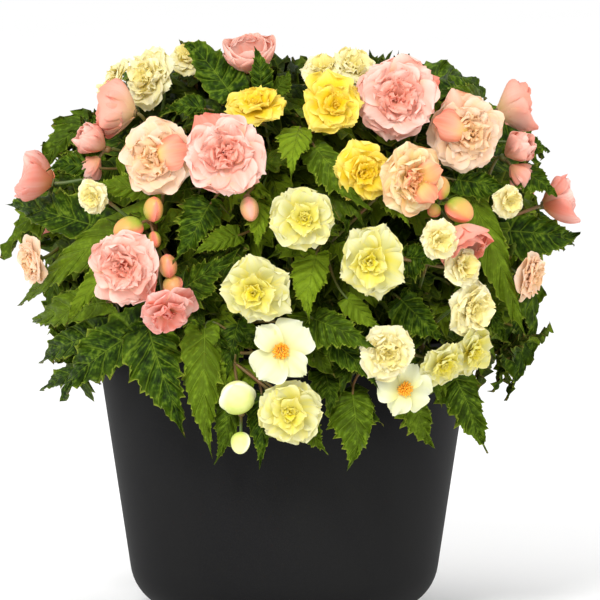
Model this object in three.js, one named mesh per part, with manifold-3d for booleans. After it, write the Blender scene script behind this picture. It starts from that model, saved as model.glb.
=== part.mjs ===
// A potted trailing begonia: a mound of toothed leaves with double and single blooms in pink, apricot,
// yellow, lemon and cream, growing out of a plain tapered planter. Millimetres, +Z up, the origin on the
// floor at the middle of the planter's foot, the front towards -Y.
import * as THREE from 'three';
import { mergeVertices } from 'three/addons/utils/BufferGeometryUtils.js';
import Module from 'manifold-3d';

const wasm = await Module();
wasm.setup();

const DEG = Math.PI / 180;
const GAP = 0.3; // running clearance between pieces that touch

// ---- The planter -------------------------------------------------------------------------------------
const POT = {
  height: 220,
  rimRadius: 150,
  taper: 0.15, // how far the wall leans out for each millimetre of height
  footRound: 40, // radius of the rounded lower edge
  wall: 3.6,
  lip: 3, // how much the rolled rim thickens inwards
  lipDepth: 9,
  edge: 1.2, // chamfer of the rim's outer edge
  sides: 32,
};
const SOIL = { top: 202, bump: 2.4, sides: 16, rings: [0.8, 0.5] }; // rings in shares of its radius
const FOOT_STEPS = { outside: 4, inside: 2 };

// ---- The mound that the plants fill, a dome of revolution that hangs a little over the rim -----------
const MOUND = { x: 6, z: 285, radius: 212, rise: 165, squareness: 2.4, hang: 0.12 };

// ---- The photograph that the front was measured from -------------------------------------------------
const PHOTO = { axisColumn: 284, floorRow: 614, mmPerPixel: 0.78, tilt: 5 * DEG };

const mat = (color, roughness = 0.55) => new THREE.MeshStandardMaterial({ color, roughness, metalness: 0 });
const MATERIALS = {
  pot: mat(0x2b2b2b, 0.6),
  soil: mat(0x2e2018, 0.95),
  leaf: mat(0x3f6f1f, 0.5),
  pink: mat(0xf5b3ae),
  coral: mat(0xee7f78),
  apricot: mat(0xf8d7bd),
  yellow: mat(0xfae23a),
  lemon: mat(0xf4eb8f),
  cream: mat(0xf6efd0),
  bud: mat(0xeda07a),
};

// ---- Small helpers -----------------------------------------------------------------------------------
// A repeatable draw between 0 and 1 for a pair of whole numbers.
function draw(a, b) {
  const s = Math.sin(a * 127.1 + b * 311.7 + 74.7) * 43758.5453;
  return s - Math.floor(s);
}

const vec = (x, y, z) => new THREE.Vector3(x, y, z);
const mix = (a, b, t) => a.clone().lerp(b, t);

function solidOf(geometry) {
  const bare = new THREE.BufferGeometry().setAttribute('position', geometry.getAttribute('position'));
  if (geometry.index) bare.setIndex(geometry.index);
  const merged = mergeVertices(bare, 1e-4);
  return new wasm.Manifold(
    new wasm.Mesh({
      numProp: 3,
      vertProperties: new Float32Array(merged.attributes.position.array),
      triVerts: new Uint32Array(merged.index.array),
    }),
  );
}

function geometryOf(solid) {
  const mesh = solid.getMesh();
  const geometry = new THREE.BufferGeometry();
  geometry.setAttribute('position', new THREE.BufferAttribute(mesh.vertProperties, 3));
  geometry.setIndex(new THREE.BufferAttribute(mesh.triVerts, 1));
  geometry.computeVertexNormals();
  return geometry;
}

function surface(points, faces) {
  const geometry = new THREE.BufferGeometry();
  const numbers = points.flatMap((p) => p.toArray());
  geometry.setAttribute('position', new THREE.Float32BufferAttribute(numbers, 3));
  geometry.setIndex(faces.flat());
  return geometry;
}

// Closed rings of points, one above another, with a flat first ring and a point at the end.
function ringsToSurface(rings, apex) {
  const n = rings[0].length;
  const faces = [];
  for (let j = 1; j < n - 1; j += 1) faces.push([0, j + 1, j]);
  for (let k = 0; k + 1 < rings.length; k += 1) {
    for (let j = 0; j < n; j += 1) {
      const a = k * n + j;
      const b = k * n + ((j + 1) % n);
      faces.push([a, b, b + n], [a, b + n, a + n]);
    }
  }
  const last = (rings.length - 1) * n;
  const top = rings.length * n;
  for (let j = 0; j < n; j += 1) faces.push([last + j, last + ((j + 1) % n), top]);
  return surface([...rings.flat(), apex], faces);
}

// A tube through the points given, with as many sides as its last ring has points, which are joined on
// as they are. Each ring before it is the same ring carried back along the path without a twist, square
// to the path. facing is the direction that the last ring is square to.
function tubeBack(points, last, radius, facing) {
  const sides = last.length;
  const rings = [last];
  let heading = facing;
  let spokes = last.map((p) => p.clone().sub(points[points.length - 1]).setLength(radius));
  for (let k = points.length - 2; k >= 0; k -= 1) {
    const after = points[k + 1].clone().sub(points[k]).normalize();
    const before = k > 0 ? points[k].clone().sub(points[k - 1]).normalize() : after;
    const square = after.clone().add(before).normalize();
    const turn = new THREE.Quaternion().setFromUnitVectors(heading, square);
    spokes = spokes.map((spoke) => spoke.applyQuaternion(turn));
    rings.unshift(spokes.map((spoke) => spoke.clone().add(points[k])));
    heading = square;
  }
  const faces = [];
  for (let j = 1; j < sides - 1; j += 1) faces.push([0, j + 1, j]);
  for (let k = 0; k + 1 < rings.length; k += 1) {
    for (let j = 0; j < sides; j += 1) {
      const a = k * sides + j;
      const b = k * sides + ((j + 1) % sides);
      faces.push([a, b, b + sides], [a, b + sides, a + sides]);
    }
  }
  return { rings, faces };
}

// The same tube closed by a flat end across its last ring, which lies square to the path.
function stalk(points, radius, sides) {
  const end = points[points.length - 1];
  const heading = end.clone().sub(points[points.length - 2]).normalize();
  const turn = new THREE.Quaternion().setFromUnitVectors(vec(0, 0, 1), heading);
  const last = Array.from({ length: sides }, (_, j) => {
    const a = (j / sides) * 2 * Math.PI;
    return vec(radius * Math.cos(a), radius * Math.sin(a), 0).applyQuaternion(turn).add(end);
  });
  const { rings, faces } = tubeBack(points, last, radius, heading);
  const first = (points.length - 1) * sides;
  for (let j = 1; j < sides - 1; j += 1) faces.push([first, first + j, first + j + 1]);
  return solidOf(surface(rings.flat(), faces));
}

// ---- Places on the mound -----------------------------------------------------------------------------
// The mound's radius at a height.
function moundRadius(z) {
  const { radius, rise, squareness } = MOUND;
  if (z < MOUND.z) return radius - MOUND.hang * (MOUND.z - z);
  const up = Math.min((z - MOUND.z) / rise, 1);
  return radius * (1 - up ** squareness) ** (1 / squareness);
}

// Outward direction of the mound's surface at a point.
function moundNormal(p) {
  const step = 0.5;
  const slope = (moundRadius(p.z + step) - moundRadius(p.z - step)) / (2 * step);
  const out = vec(p.x - MOUND.x, p.y, 0);
  const flat = out.length() < 1 ? vec(0, 0, 0) : out.normalize();
  return vec(flat.x, flat.y, Math.min(Math.max(-slope, 0.05), 4)).normalize();
}

// The point that a pixel of the photograph shows, on the mound drawn in to a share of its radius. Points
// further out than the mound reaches lie in the plane of its axis.
function seen([column, row], share = 1) {
  const x = (column - PHOTO.axisColumn) * PHOTO.mmPerPixel;
  const height = (PHOTO.floorRow - row) * PHOTO.mmPerPixel;
  let y = -100;
  for (let turn = 0; turn < 60; turn += 1) {
    const z = (height - y * Math.sin(PHOTO.tilt)) / Math.cos(PHOTO.tilt);
    const reach = (moundRadius(z) * share) ** 2 - (x - MOUND.x) ** 2;
    y += 0.3 * (-Math.sqrt(Math.max(reach, 0)) - y);
  }
  return vec(x, y, (height - y * Math.sin(PHOTO.tilt)) / Math.cos(PHOTO.tilt));
}

// A point on the mound by compass: 0 is the front, 90 the right, 180 the back.
function around(degrees, z, share = 1) {
  const r = moundRadius(z) * share;
  return vec(MOUND.x + r * Math.sin(degrees * DEG), -r * Math.cos(degrees * DEG), z);
}

// A direction by compass and height above the horizon.
function towards(degrees, pitch) {
  const flat = Math.cos(pitch * DEG);
  return vec(flat * Math.sin(degrees * DEG), -flat * Math.cos(degrees * DEG), Math.sin(pitch * DEG));
}

// ---- Planter and soil --------------------------------------------------------------------------------
// A profile of [radius, height] points turned about the planter's axis.
function turnedSurface(profile, sides) {
  const geometry = new THREE.LatheGeometry(profile.map(([r, z]) => new THREE.Vector2(r, z)), sides);
  return geometry.rotateX(Math.PI / 2);
}

// Radius of the planter's outside at a height, above the rounded lower edge.
const wallRadius = (z) => POT.rimRadius - POT.taper * (POT.height - z);

// The rounded lower edge as an arc that is tangent to the floor and to the leaning wall.
function footArc(inset, steps) {
  const lean = Math.atan(POT.taper);
  const radius = POT.footRound - inset;
  const tangent = POT.footRound * (1 - Math.sin(lean));
  const centre = wallRadius(tangent) - POT.footRound * Math.cos(lean);
  const points = [];
  for (let k = 0; k <= steps; k += 1) {
    const a = (-90 + ((90 - lean / DEG) * k) / steps) * DEG;
    points.push([centre + radius * Math.cos(a), POT.footRound + radius * Math.sin(a)]);
  }
  return points;
}

function potSolid() {
  const { height, wall, lip, lipDepth, edge, rimRadius, taper } = POT;
  const outer = footArc(0, FOOT_STEPS.outside);
  const inner = footArc(wall, FOOT_STEPS.inside).reverse();
  const profile = [
    [0, 0],
    ...outer,
    [rimRadius, height - edge],
    [rimRadius - edge, height],
    [rimRadius - wall - lip, height],
    [rimRadius - wall - lip, height - lipDepth],
    [rimRadius - wall - taper * (lipDepth + lip), height - lipDepth - lip],
    ...inner,
    [0, wall],
  ];
  return solidOf(turnedSurface(profile, POT.sides));
}

// Where each leafy stem leaves the soil.
const STEMS = [
  { name: 'leafy_stem_front', at: 0, ring: 82 },
  { name: 'leafy_stem_front_right', at: 52, ring: 84 },
  { name: 'leafy_stem_right', at: 103, ring: 84 },
  { name: 'leafy_stem_back_right', at: 155, ring: 84 },
  { name: 'leafy_stem_back_left', at: 206, ring: 84 },
  { name: 'leafy_stem_left', at: 257, ring: 84 },
  { name: 'leafy_stem_front_left', at: 309, ring: 84 },
  { name: 'leafy_stem_middle', at: 0, ring: 0 },
];
const CROWN = { radius: 9, deep: 34, high: 8, sides: 6 };
const crownOf = (stem) => towards(stem.at, 0).multiplyScalar(stem.ring);

function soilSolid() {
  const inner = footArc(POT.wall + GAP, FOOT_STEPS.inside);
  const edge = wallRadius(SOIL.top) - POT.wall - 1.2 * GAP;
  const top = [1, ...SOIL.rings, 0].map((share) => [edge * share, SOIL.top]);
  const geometry = turnedSurface([[0, POT.wall + GAP], ...inner, ...top], SOIL.sides);
  const p = geometry.getAttribute('position');
  for (let k = 0; k < p.count; k += 1) {
    const r = Math.hypot(p.getX(k), p.getY(k));
    if (p.getZ(k) < SOIL.top - 1 || r > edge - 1) continue;
    const bump = draw(Math.round(p.getX(k)), Math.round(p.getY(k)));
    p.setZ(k, SOIL.top + SOIL.bump * (2 * bump - 1));
  }
  let soil = solidOf(geometry);
  for (const stem of STEMS) {
    const depth = CROWN.deep + GAP;
    const hole = new THREE.CylinderGeometry(CROWN.radius + GAP, CROWN.radius + GAP, 2 * depth, CROWN.sides);
    hole.rotateX(Math.PI / 2);
    const c = crownOf(stem);
    hole.translate(c.x, c.y, SOIL.top);
    soil = soil.subtract(solidOf(hole));
  }
  return soil;
}

// ---- Blooms ------------------------------------------------------------------------------------------
const RING = 12; // points round each ring of a bloom
const PER_PETAL = 3; // a notch and two shoulders
const SHOULDER = 13; // degrees by which a petal's shoulders reach towards the notches beside it
const SEAT = 3; // radius of the flat back of a bloom, where its stalk meets it

// One layer's outline: broad petals parted by narrow notches. spread is the angle from the bloom's axis
// to the petals, and reach their length from its heart. Each layer is a third of a petal further round.
function petalRing({ reach, spread, heart, layer = 0, notch = 0.7, seed }) {
  return Array.from({ length: RING }, (_, j) => {
    const place = (j + RING - layer) % PER_PETAL;
    const a = ((360 / RING) * j + SHOULDER * [0, -1, 1][place]) * DEG;
    const length = reach * (place ? 1 : notch) * (0.93 + 0.12 * draw(seed, j));
    const lean = (spread + 9 * (draw(seed + 5, j) - 0.5)) * DEG;
    const r = length * Math.sin(lean);
    return vec(r * Math.cos(a), r * Math.sin(a), heart + length * Math.cos(lean));
  });
}

function roundRing(r, z) {
  return Array.from({ length: RING }, (_, j) => {
    const a = (360 / RING) * j * DEG;
    return vec(r * Math.cos(a), r * Math.sin(a), z);
  });
}

// A double bloom, facing +Z from its seat at the origin: layers of petals, each turned against the one
// below, that stand up more towards the heart. cup closes it from 0, open, to 1.
function doubleBloom({ radius, cup = 0, layers = 3, seed }) {
  const heart = 0.3 * radius;
  const spreads = [94, 66, 34].map((open, k) => open + ([50, 36, 22][k] - open) * cup);
  const reaches = [1, 0.86, 0.66].map((share) => share * radius);
  const rings = [roundRing(SEAT, 0)];
  for (let k = 0; k < layers; k += 1) {
    rings.push(petalRing({ reach: reaches[k], spread: spreads[k], heart, layer: k, seed: seed + k }));
    if (k === layers - 1) break;
    const under = ((spreads[k] + spreads[k + 1]) / 2) * DEG;
    const dip = (0.43 - 0.03 * k) * radius;
    rings.push(roundRing(dip * Math.sin(under), heart + dip * Math.cos(under)));
  }
  return solidOf(ringsToSurface(rings, vec(0, 0, heart + 0.34 * radius)));
}

// A single bloom: four flat petals round a raised yellow knob.
function singleBloom({ radius, seed }) {
  const heart = 0.28 * radius;
  const thin = 0.9;
  const petals = { reach: radius, spread: 96, notch: 0.38, seed };
  const rings = [
    roundRing(SEAT, 0),
    petalRing({ ...petals, heart: heart - thin }),
    petalRing({ ...petals, heart }),
    roundRing(0.2 * radius, heart + 1.5),
    roundRing(0.17 * radius, heart + 0.22 * radius),
  ];
  return solidOf(ringsToSurface(rings, vec(0, 0, heart + 0.27 * radius)));
}

// A closed bud: two round guard petals pressed together, longer than broad and flat.
const BUD = { broad: 1, flat: 0.62, long: 1.12, stalk: 1.3 };

function budBody(radius) {
  const body = new THREE.SphereGeometry(radius, 5, 4);
  body.scale(BUD.broad, BUD.flat, BUD.long);
  return body;
}

// Each bloom is placed where the photograph shows it, or by compass and height where it doesn't, and
// faces a compass direction and pitch. out moves it towards the viewer. The first word of its name is its
// colour. Two blooms that grow against each other are one piece.
const BLOOMS = [
  { name: 'pink_front', px: [228, 162], radius: 33, face: [-8, 8], out: 16 },
  { name: 'apricot_left', px: [159, 158], radius: 31, face: [-26, 4] },
  { name: 'pink_cup_left', px: [128, 112], radius: 25, face: [-100, 12], cup: 0.55 },
  { name: 'pink_low_left', px: [128, 268], radius: 31, face: [-18, -4], out: 6 },
  { name: 'coral_small_left', px: [169, 307], radius: 19, face: [22, -40], layers: 2 },
  { name: 'coral_far_left', px: [45, 180], radius: 22, face: [-98, 14], cup: 0.4 },
  { name: 'apricot_far_left', px: [34, 260], radius: 20, face: [-66, -12] },
  { name: 'pink_top', px: [252, 66], radius: 23, face: [-20, 62], cup: 0.5 },
  { name: 'pink_right', px: [395, 101], radius: 34, face: [4, 12], out: 14 },
  { name: 'apricot_right', px: [463, 133], radius: 31, face: [26, 2] },
  { name: 'pink_cup_right', px: [506, 109], radius: 23, face: [100, 12], cup: 0.55 },
  { name: 'coral_far_right', px: [551, 203], radius: 22, face: [98, 14], cup: 0.4 },
  { name: 'apricot_far_right', px: [527, 276], radius: 21, face: [66, -12] },
  { name: 'pink_low_right', px: [456, 236], radius: 24, face: [40, -48], cup: 0.3 },
  { name: 'apricot_middle_right', px: [408, 181], radius: 28, face: [34, 0], layers: 2 },
  { name: 'yellow_top', px: [331, 108], radius: 26, face: [14, 22], out: 6 },
  { name: 'yellow_top_left', px: [258, 110], radius: 26, face: [-6, 58] },
  { name: 'yellow_middle', px: [363, 170], radius: 25, face: [18, -4] },
  { name: 'lemon_middle', px: [302, 220], radius: 25, face: [0, 4] },
  { name: 'lemon_left', px: [259, 291], radius: 28, face: [-6, -4] },
  { name: 'lemon_right', px: [371, 263], radius: 28, face: [8, -2] },
  { name: 'lemon_low', px: [291, 410], radius: 25, face: [0, -6] },
  { name: 'cream_single_left', px: [281, 350], radius: 27, face: [4, 8], single: true },
  { name: 'cream_low', px: [386, 350], radius: 25, face: [10, -4] },
  {
    name: 'cream_pair_right',
    px: [464, 308], radius: 25, face: [42, -6],
    beside: { px: [455, 268], radius: 15, face: [40, 14], layers: 2 },
  },
  {
    name: 'lemon_pair_right',
    px: [463, 350], radius: 17, face: [52, -20], layers: 2,
    beside: { px: [436, 362], radius: 16, face: [30, -30], layers: 2 },
  },
  { name: 'cream_single_right', px: [405, 388], radius: 22, face: [14, 0], single: true },
  { name: 'cream_small_right', px: [428, 240], radius: 14, face: [16, 0], layers: 2 },
  {
    name: 'cream_pair_top_left',
    px: [152, 78], radius: 27, face: [-48, 16],
    beside: { px: [119, 84], radius: 18, face: [-84, 24], layers: 2 },
  },
  { name: 'cream_small_left', px: [96, 197], radius: 12, face: [-30, -10], layers: 2 },
  {
    name: 'cream_pair_top_right',
    px: [352, 72], radius: 18, face: [20, 50], layers: 2,
    beside: { px: [322, 74], radius: 14, face: [-10, 56], layers: 2 },
  },
  { name: 'cream_small_far_right', px: [505, 201], radius: 12, face: [34, -10], layers: 2 },
  { name: 'cream_top', px: [190, 58], radius: 14, face: [-20, 40], layers: 2 },
  { name: 'pink_back_left', at: [222, 372], radius: 33 },
  { name: 'apricot_back', at: [186, 392], radius: 31 },
  { name: 'lemon_back_right', at: [148, 366], radius: 28 },
  { name: 'yellow_back', at: [170, 318], radius: 27 },
  { name: 'pink_back_right', at: [124, 306], radius: 31 },
  { name: 'cream_back_left', at: [203, 296], radius: 26 },
  { name: 'coral_back_left', at: [240, 300], radius: 24, cup: 0.35 },
  { name: 'lemon_back_low', at: [182, 224], radius: 25 },
  { name: 'apricot_back_low', at: [146, 236], radius: 26 },
  { name: 'cream_single_back', at: [222, 224], radius: 24, single: true },
];

// Buds hang in small sprays from one joint, each as [across, up, size] from it, seen face on.
const BUD_SPRAYS = [
  { name: 'buds_left', px: [150, 222], face: [-16, 0], buds: [[-14, -6, 11], [6, 10, 9.5], [6, -14, 6]] },
  { name: 'buds_right', px: [442, 199], face: [20, 0], buds: [[9, -9, 11], [-6, 9, 9], [-10, -9, 5.5]] },
  { name: 'buds_far_left', px: [108, 150], face: [-58, 0], buds: [[-3, 8, 13], [-8, -14, 11]] },
  { name: 'buds_far_right', px: [503, 157], face: [58, 0], buds: [[3, 8, 13], [8, -14, 11]] },
  { name: 'buds_pink_front', px: [248, 199], face: [0, -20], buds: [[2, -6, 9]] },
  { name: 'buds_lemon_low', px: [242, 412], face: [-4, 0], buds: [[-2, 14, 14], [0, -22, 8]] },
  { name: 'buds_coral_left', px: [172, 276], face: [10, 0], buds: [[-2, 8, 9], [2, -8, 8]] },
];

// ---- Leaves ------------------------------------------------------------------------------------------
// The outline of one side of a leaf, from the notch where its stalk joins to its drawn-out tip, as
// [along, across]: along in shares of the length, across in shares of half the width. Every second point
// is the tip of a forward-pointing tooth.
const LEAF_EDGE = [
  [-0.07, 0.42],
  [0.17, 1.06],
  [0.2, 0.82],
  [0.41, 0.94],
  [0.43, 0.68],
  [0.64, 0.58],
  [0.66, 0.34],
];
const SMALL_EDGE = [
  [-0.06, 0.42],
  [0.2, 1.04],
  [0.24, 0.76],
  [0.52, 0.74],
  [0.55, 0.44],
];
const LEAF_RIB = [0.34, 0.68];
const SMALL_RIB = [0.42];
const LEAF = { thick: 0.8, fold: 13, lopsided: 0.16, bow: 0.1, small: 90 };

// Points of a leaf by its place: from its base along its length, with a fold down its rib and an even
// arch from base to tip. along and across are as in LEAF_EDGE, and across is negative on the far side.
function leafPoint(place, along, across, lift) {
  const { base, forward, side, up, length, width } = place;
  const lean = 1 + LEAF.lopsided * Math.sign(across);
  const half = (width / 2) * Math.abs(across) * lean;
  const arch = LEAF.bow * length * 4 * along * (1 - along);
  return base
    .clone()
    .addScaledVector(forward, along * length)
    .addScaledVector(side, Math.sign(across) * half * Math.cos(LEAF.fold * DEG))
    .addScaledVector(up, arch - half * Math.sin(LEAF.fold * DEG) + lift);
}

// The triangles of one half of a blade, between the chain of its edge and the chain of its rib, which
// share their two ends: whichever chain is further behind moves on. along gives a point's place.
function halfBlade(edge, rib, along) {
  const faces = [];
  let r = 0;
  for (let e = 0; e + 1 < edge.length; e += 1) {
    while (e > 0 && r + 2 < rib.length && along(rib[r + 1]) < along(edge[e + 1])) {
      faces.push([rib[r], edge[e], rib[r + 1]]);
      r += 1;
    }
    if (e > 0) faces.push([rib[r], edge[e], edge[e + 1]]);
  }
  return faces;
}

// The points that a leaf's stalk passes: straight to the leaf's base where that heads on into the blade,
// and otherwise round a neck just behind it.
const LEAF_NECK = { back: 8, below: 4, straight: 0.3 };

function petiole({ base, forward, up }, from) {
  const heading = base.clone().sub(from).normalize();
  if (heading.dot(forward) > LEAF_NECK.straight) return [from, base];
  const neck = base.clone().addScaledVector(forward, -LEAF_NECK.back).addScaledVector(up, -LEAF_NECK.below);
  return [from, neck, base];
}

// A leaf with its stalk, as one surface: the stalk's last ring is two points of the upper face and one of
// the lower. from is the point where the stalk starts.
function leafSolid(place, from) {
  const isSmall = place.length < LEAF.small;
  const outline = isSmall ? SMALL_EDGE : LEAF_EDGE;
  const midrib = isSmall ? SMALL_RIB : LEAF_RIB;
  const half = LEAF.thick / 2;
  const n = outline.length;
  const alongs = [0, 0, ...midrib, 1, ...outline.map(([a]) => a), ...outline.map(([a]) => a)];
  const face = (lift, baseWidth) => [
    leafPoint(place, 0, 0, lift).addScaledVector(place.side, baseWidth),
    leafPoint(place, 0, 0, lift).addScaledVector(place.side, -baseWidth),
    ...midrib.map((along) => leafPoint(place, along, 0, lift)),
    leafPoint(place, 1, 0, lift),
    ...outline.map(([along, across]) => leafPoint(place, along, across, lift)),
    ...outline.map(([along, across]) => leafPoint(place, along, -across, lift)),
  ];
  const upper = face(half, STALK.radius);
  const lower = face(-half, 0);
  const last = [upper[0], lower[0], upper[1]];
  const { rings, faces } = tubeBack(petiole(place, from), last, STALK.radius, place.forward);
  const bare = rings.slice(0, -1).flat();
  // Indices: the stalk's rings, then the upper face, then the lower one, whose base is a single point.
  const top = (k) => bare.length + k;
  const bottom = (k) => bare.length + upper.length + (k < 2 ? 0 : k);
  const ringEnd = new Map([top(0), bottom(0), top(1)].map((index, j) => [bare.length + j, index]));
  const all = faces.map((f) => f.map((k) => ringEnd.get(k) ?? k));
  const tip = 2 + midrib.length;
  [0, 1].forEach((far) => {
    const edge = [far, ...outline.map((_, k) => tip + 1 + far * n + k), tip];
    const rib = [far, ...midrib.map((_, k) => 2 + k), tip];
    const turned = (f) => (far ? f.toReversed() : f);
    for (const f of halfBlade(edge, rib, (k) => alongs[k])) {
      all.push(turned(f).map(top), turned(f).toReversed().map(bottom));
    }
    for (let k = 0; k + 1 < edge.length; k += 1) {
      const [a, b] = [edge[k], edge[k + 1]];
      all.push(turned([top(a), bottom(a), bottom(b)]), turned([top(a), bottom(b), top(b)]));
    }
  });
  all.push([top(0), top(2), top(1)]);
  return solidOf(surface([...bare, ...upper, ...lower], all));
}

// Leaves that the photograph shows, by the pixels of base and tip and the width in pixels. over moves a
// leaf that lies on top of a bloom out towards the viewer, in millimetres.
const FRONT_LEAVES = [
  { base: [102, 228], tip: [2, 200], width: 48 },
  { base: [150, 214], tip: [14, 314], width: 38 },
  { base: [118, 262], tip: [66, 325], width: 30 },
  { base: [108, 302], tip: [28, 326], width: 40 },
  { base: [106, 332], tip: [38, 364], width: 38 },
  { base: [146, 326], tip: [54, 399], width: 60, over: 6 },
  { base: [98, 366], tip: [36, 393], width: 26 },
  { base: [148, 322], tip: [189, 436], width: 68, over: 8 },
  { base: [206, 326], tip: [209, 457], width: 46 },
  { base: [236, 390], tip: [221, 462], width: 32 },
  { base: [262, 392], tip: [250, 467], width: 30 },
  { base: [306, 420], tip: [323, 452], width: 26 },
  { base: [352, 392], tip: [358, 467], width: 52 },
  { base: [408, 392], tip: [420, 453], width: 38 },
  { base: [452, 372], tip: [483, 455], width: 48 },
  { base: [474, 326], tip: [480, 370], width: 30 },
  { base: [482, 306], tip: [507, 344], width: 30 },
  { base: [464, 186], tip: [523, 340], width: 46 },
  { base: [502, 230], tip: [584, 240], width: 50 },
  { base: [518, 168], tip: [558, 196], width: 36 },
  { base: [518, 142], tip: [552, 148], width: 26 },
  { base: [98, 140], tip: [69, 126], width: 26 },
  { base: [94, 168], tip: [48, 164], width: 32 },
  { base: [150, 190], tip: [88, 190], width: 30, over: 8 },
  { base: [232, 96], tip: [184, 38], width: 48 },
  { base: [206, 110], tip: [166, 112], width: 32 },
  { base: [262, 92], tip: [257, 47], width: 26 },
  { base: [276, 92], tip: [293, 74], width: 22 },
  { base: [300, 130], tip: [288, 178], width: 38 },
  { base: [314, 148], tip: [363, 216], width: 40, over: 10 },
  { base: [212, 204], tip: [182, 266], width: 46 },
  { base: [240, 236], tip: [192, 254], width: 26 },
  { base: [180, 292], tip: [242, 256], width: 44 },
  { base: [262, 198], tip: [258, 248], width: 32 },
  { base: [316, 254], tip: [302, 322], width: 42 },
  { base: [312, 318], tip: [380, 353], width: 42, over: 12 },
  { base: [346, 298], tip: [386, 340], width: 28 },
  { base: [398, 298], tip: [442, 346], width: 42 },
  { base: [404, 258], tip: [458, 272], width: 48, over: 8 },
  { base: [384, 196], tip: [422, 226], width: 24, over: 14 },
  { base: [328, 338], tip: [382, 384], width: 30, over: 4 },
  { base: [454, 180], tip: [512, 204], width: 34 },
  { base: [482, 98], tip: [440, 86], width: 24 },
];

// Leaves of the sides and the back, in rows round the mound: each row's arc and how many leaves share it,
// the height of their bases and the height that their tips point to.
const BACK_ROWS = [
  { from: 82, to: 278, count: 9, base: 252, tip: 170 },
  { from: 84, to: 276, count: 8, base: 292, tip: 226 },
  { from: 78, to: 282, count: 8, base: 342, tip: 290 },
  { from: 70, to: 290, count: 6, base: 392, tip: 352 },
  { from: 90, to: 270, count: 3, base: 420, tip: 412 },
];
// Leaves that spread from the middle over the top, at even steps round it.
const TOP_LEAVES = {
  count: 5,
  first: 24,
  baseRing: 34,
  baseHeight: 392,
  tipRing: 124,
  tipHeight: 404,
  width: 58,
};
const BACK_LEAF = { shortest: 74, spread: 24, narrowest: 42, widthSpread: 14, sway: 26 };

// ---- Placing and bending clear -----------------------------------------------------------------------
function frameOf(base, tip, hint, width) {
  const forward = tip.clone().sub(base);
  const length = forward.length();
  forward.divideScalar(length);
  const side = forward.clone().cross(hint).normalize();
  const up = side.clone().cross(forward).normalize();
  return { base, forward, side, up, length, width };
}

// The ways that a leaf may turn on its stalk, the least change first.
const LEAF_TURNS = [0, 8, -8, 16, -16, 26, -26, 36].flatMap((pitch) =>
  [0, 10, -10, 20, -20].flatMap((yaw) => [1, 0.88, 0.76, 0.64].map((size) => ({ pitch, yaw, size }))),
);
const changeIn = ({ pitch, yaw, size }) => Math.abs(pitch) / 10 + Math.abs(yaw) / 12 + 5 * (1 - size);
LEAF_TURNS.sort((a, b) => changeIn(a) - changeIn(b));

function turnedLeaf(place, { pitch, yaw, size }) {
  const raised = place.forward.clone().applyAxisAngle(place.side, -pitch * DEG);
  const forward = raised.applyAxisAngle(place.up, yaw * DEG);
  const tip = place.base.clone().addScaledVector(forward, place.length * size);
  return frameOf(place.base, tip, place.up, place.width * size);
}

// Solids already placed, under the name of the piece that they belong to. A shoot may be met by the
// stalks that leave it.
const placed = [];

function boxesMeet(a, b) {
  return [0, 1, 2].every((k) => a.min[k] < b.max[k] && b.min[k] < a.max[k]);
}

function keep(name, solid, isShoot = false) {
  placed.push({ name, solid, isShoot, box: solid.boundingBox() });
}

// How badly a solid meets what is placed: 0 for not at all, 1 if only other growth of its own piece, 2 if
// another piece. The shoots of its own piece don't count.
function clash(solid, own) {
  const box = solid.boundingBox();
  let worst = 0;
  for (const p of placed) {
    const isOwn = p.name === own;
    if ((isOwn && (p.isShoot || worst > 0)) || !boxesMeet(box, p.box)) continue;
    if (p.solid.intersect(solid).isEmpty()) continue;
    if (!isOwn) return 2;
    worst = 1;
  }
  return worst;
}

// The direction from the plant to the photograph's viewer.
const TO_VIEWER = vec(0, -1, 0.25).normalize();

function leafPlaces() {
  const places = FRONT_LEAVES.map(({ base, tip, width, over = 0 }) => {
    const from = seen(base, 0.84);
    const to = seen(tip, 0.98).addScaledVector(TO_VIEWER, over);
    const hint = moundNormal(mix(from, to, 0.5)).multiplyScalar(0.7).add(TO_VIEWER).normalize();
    return frameOf(from, to, hint, width * PHOTO.mmPerPixel);
  });
  const { count, first, baseRing, baseHeight, tipRing, tipHeight, width } = TOP_LEAVES;
  for (let k = 0; k < count; k += 1) {
    const out = towards(first + (360 * k) / count, 0);
    const from = out.clone().multiplyScalar(baseRing).setZ(baseHeight);
    places.push(frameOf(from, out.multiplyScalar(tipRing).setZ(tipHeight), vec(0, 0, 1), width));
  }
  BACK_ROWS.forEach((row, r) => {
    for (let k = 0; k < row.count; k += 1) {
      const at = row.from + ((row.to - row.from) * (k + 0.5)) / row.count;
      const sway = BACK_LEAF.sway * (draw(r, k) - 0.5);
      const from = around(at, row.base, 0.84);
      const to = around(at + sway, row.tip, 1.02);
      const hint = moundNormal(mix(from, to, 0.5)).add(vec(0, 0, 0.3)).normalize();
      const reach = BACK_LEAF.shortest + BACK_LEAF.spread * draw(r + 7, k);
      const tip = from.clone().add(to.sub(from).setLength(reach));
      places.push(frameOf(from, tip, hint, BACK_LEAF.narrowest + BACK_LEAF.widthSpread * draw(k, r)));
    }
  });
  return places;
}

function basisOf(axis, origin, roll) {
  const turn = new THREE.Quaternion().setFromUnitVectors(vec(0, 0, 1), axis);
  const spin = new THREE.Quaternion().setFromAxisAngle(vec(0, 0, 1), roll);
  return new THREE.Matrix4().compose(origin, turn.multiply(spin), vec(1, 1, 1));
}

function moved(solid, matrix) {
  return solid.transform(matrix.elements);
}

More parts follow.
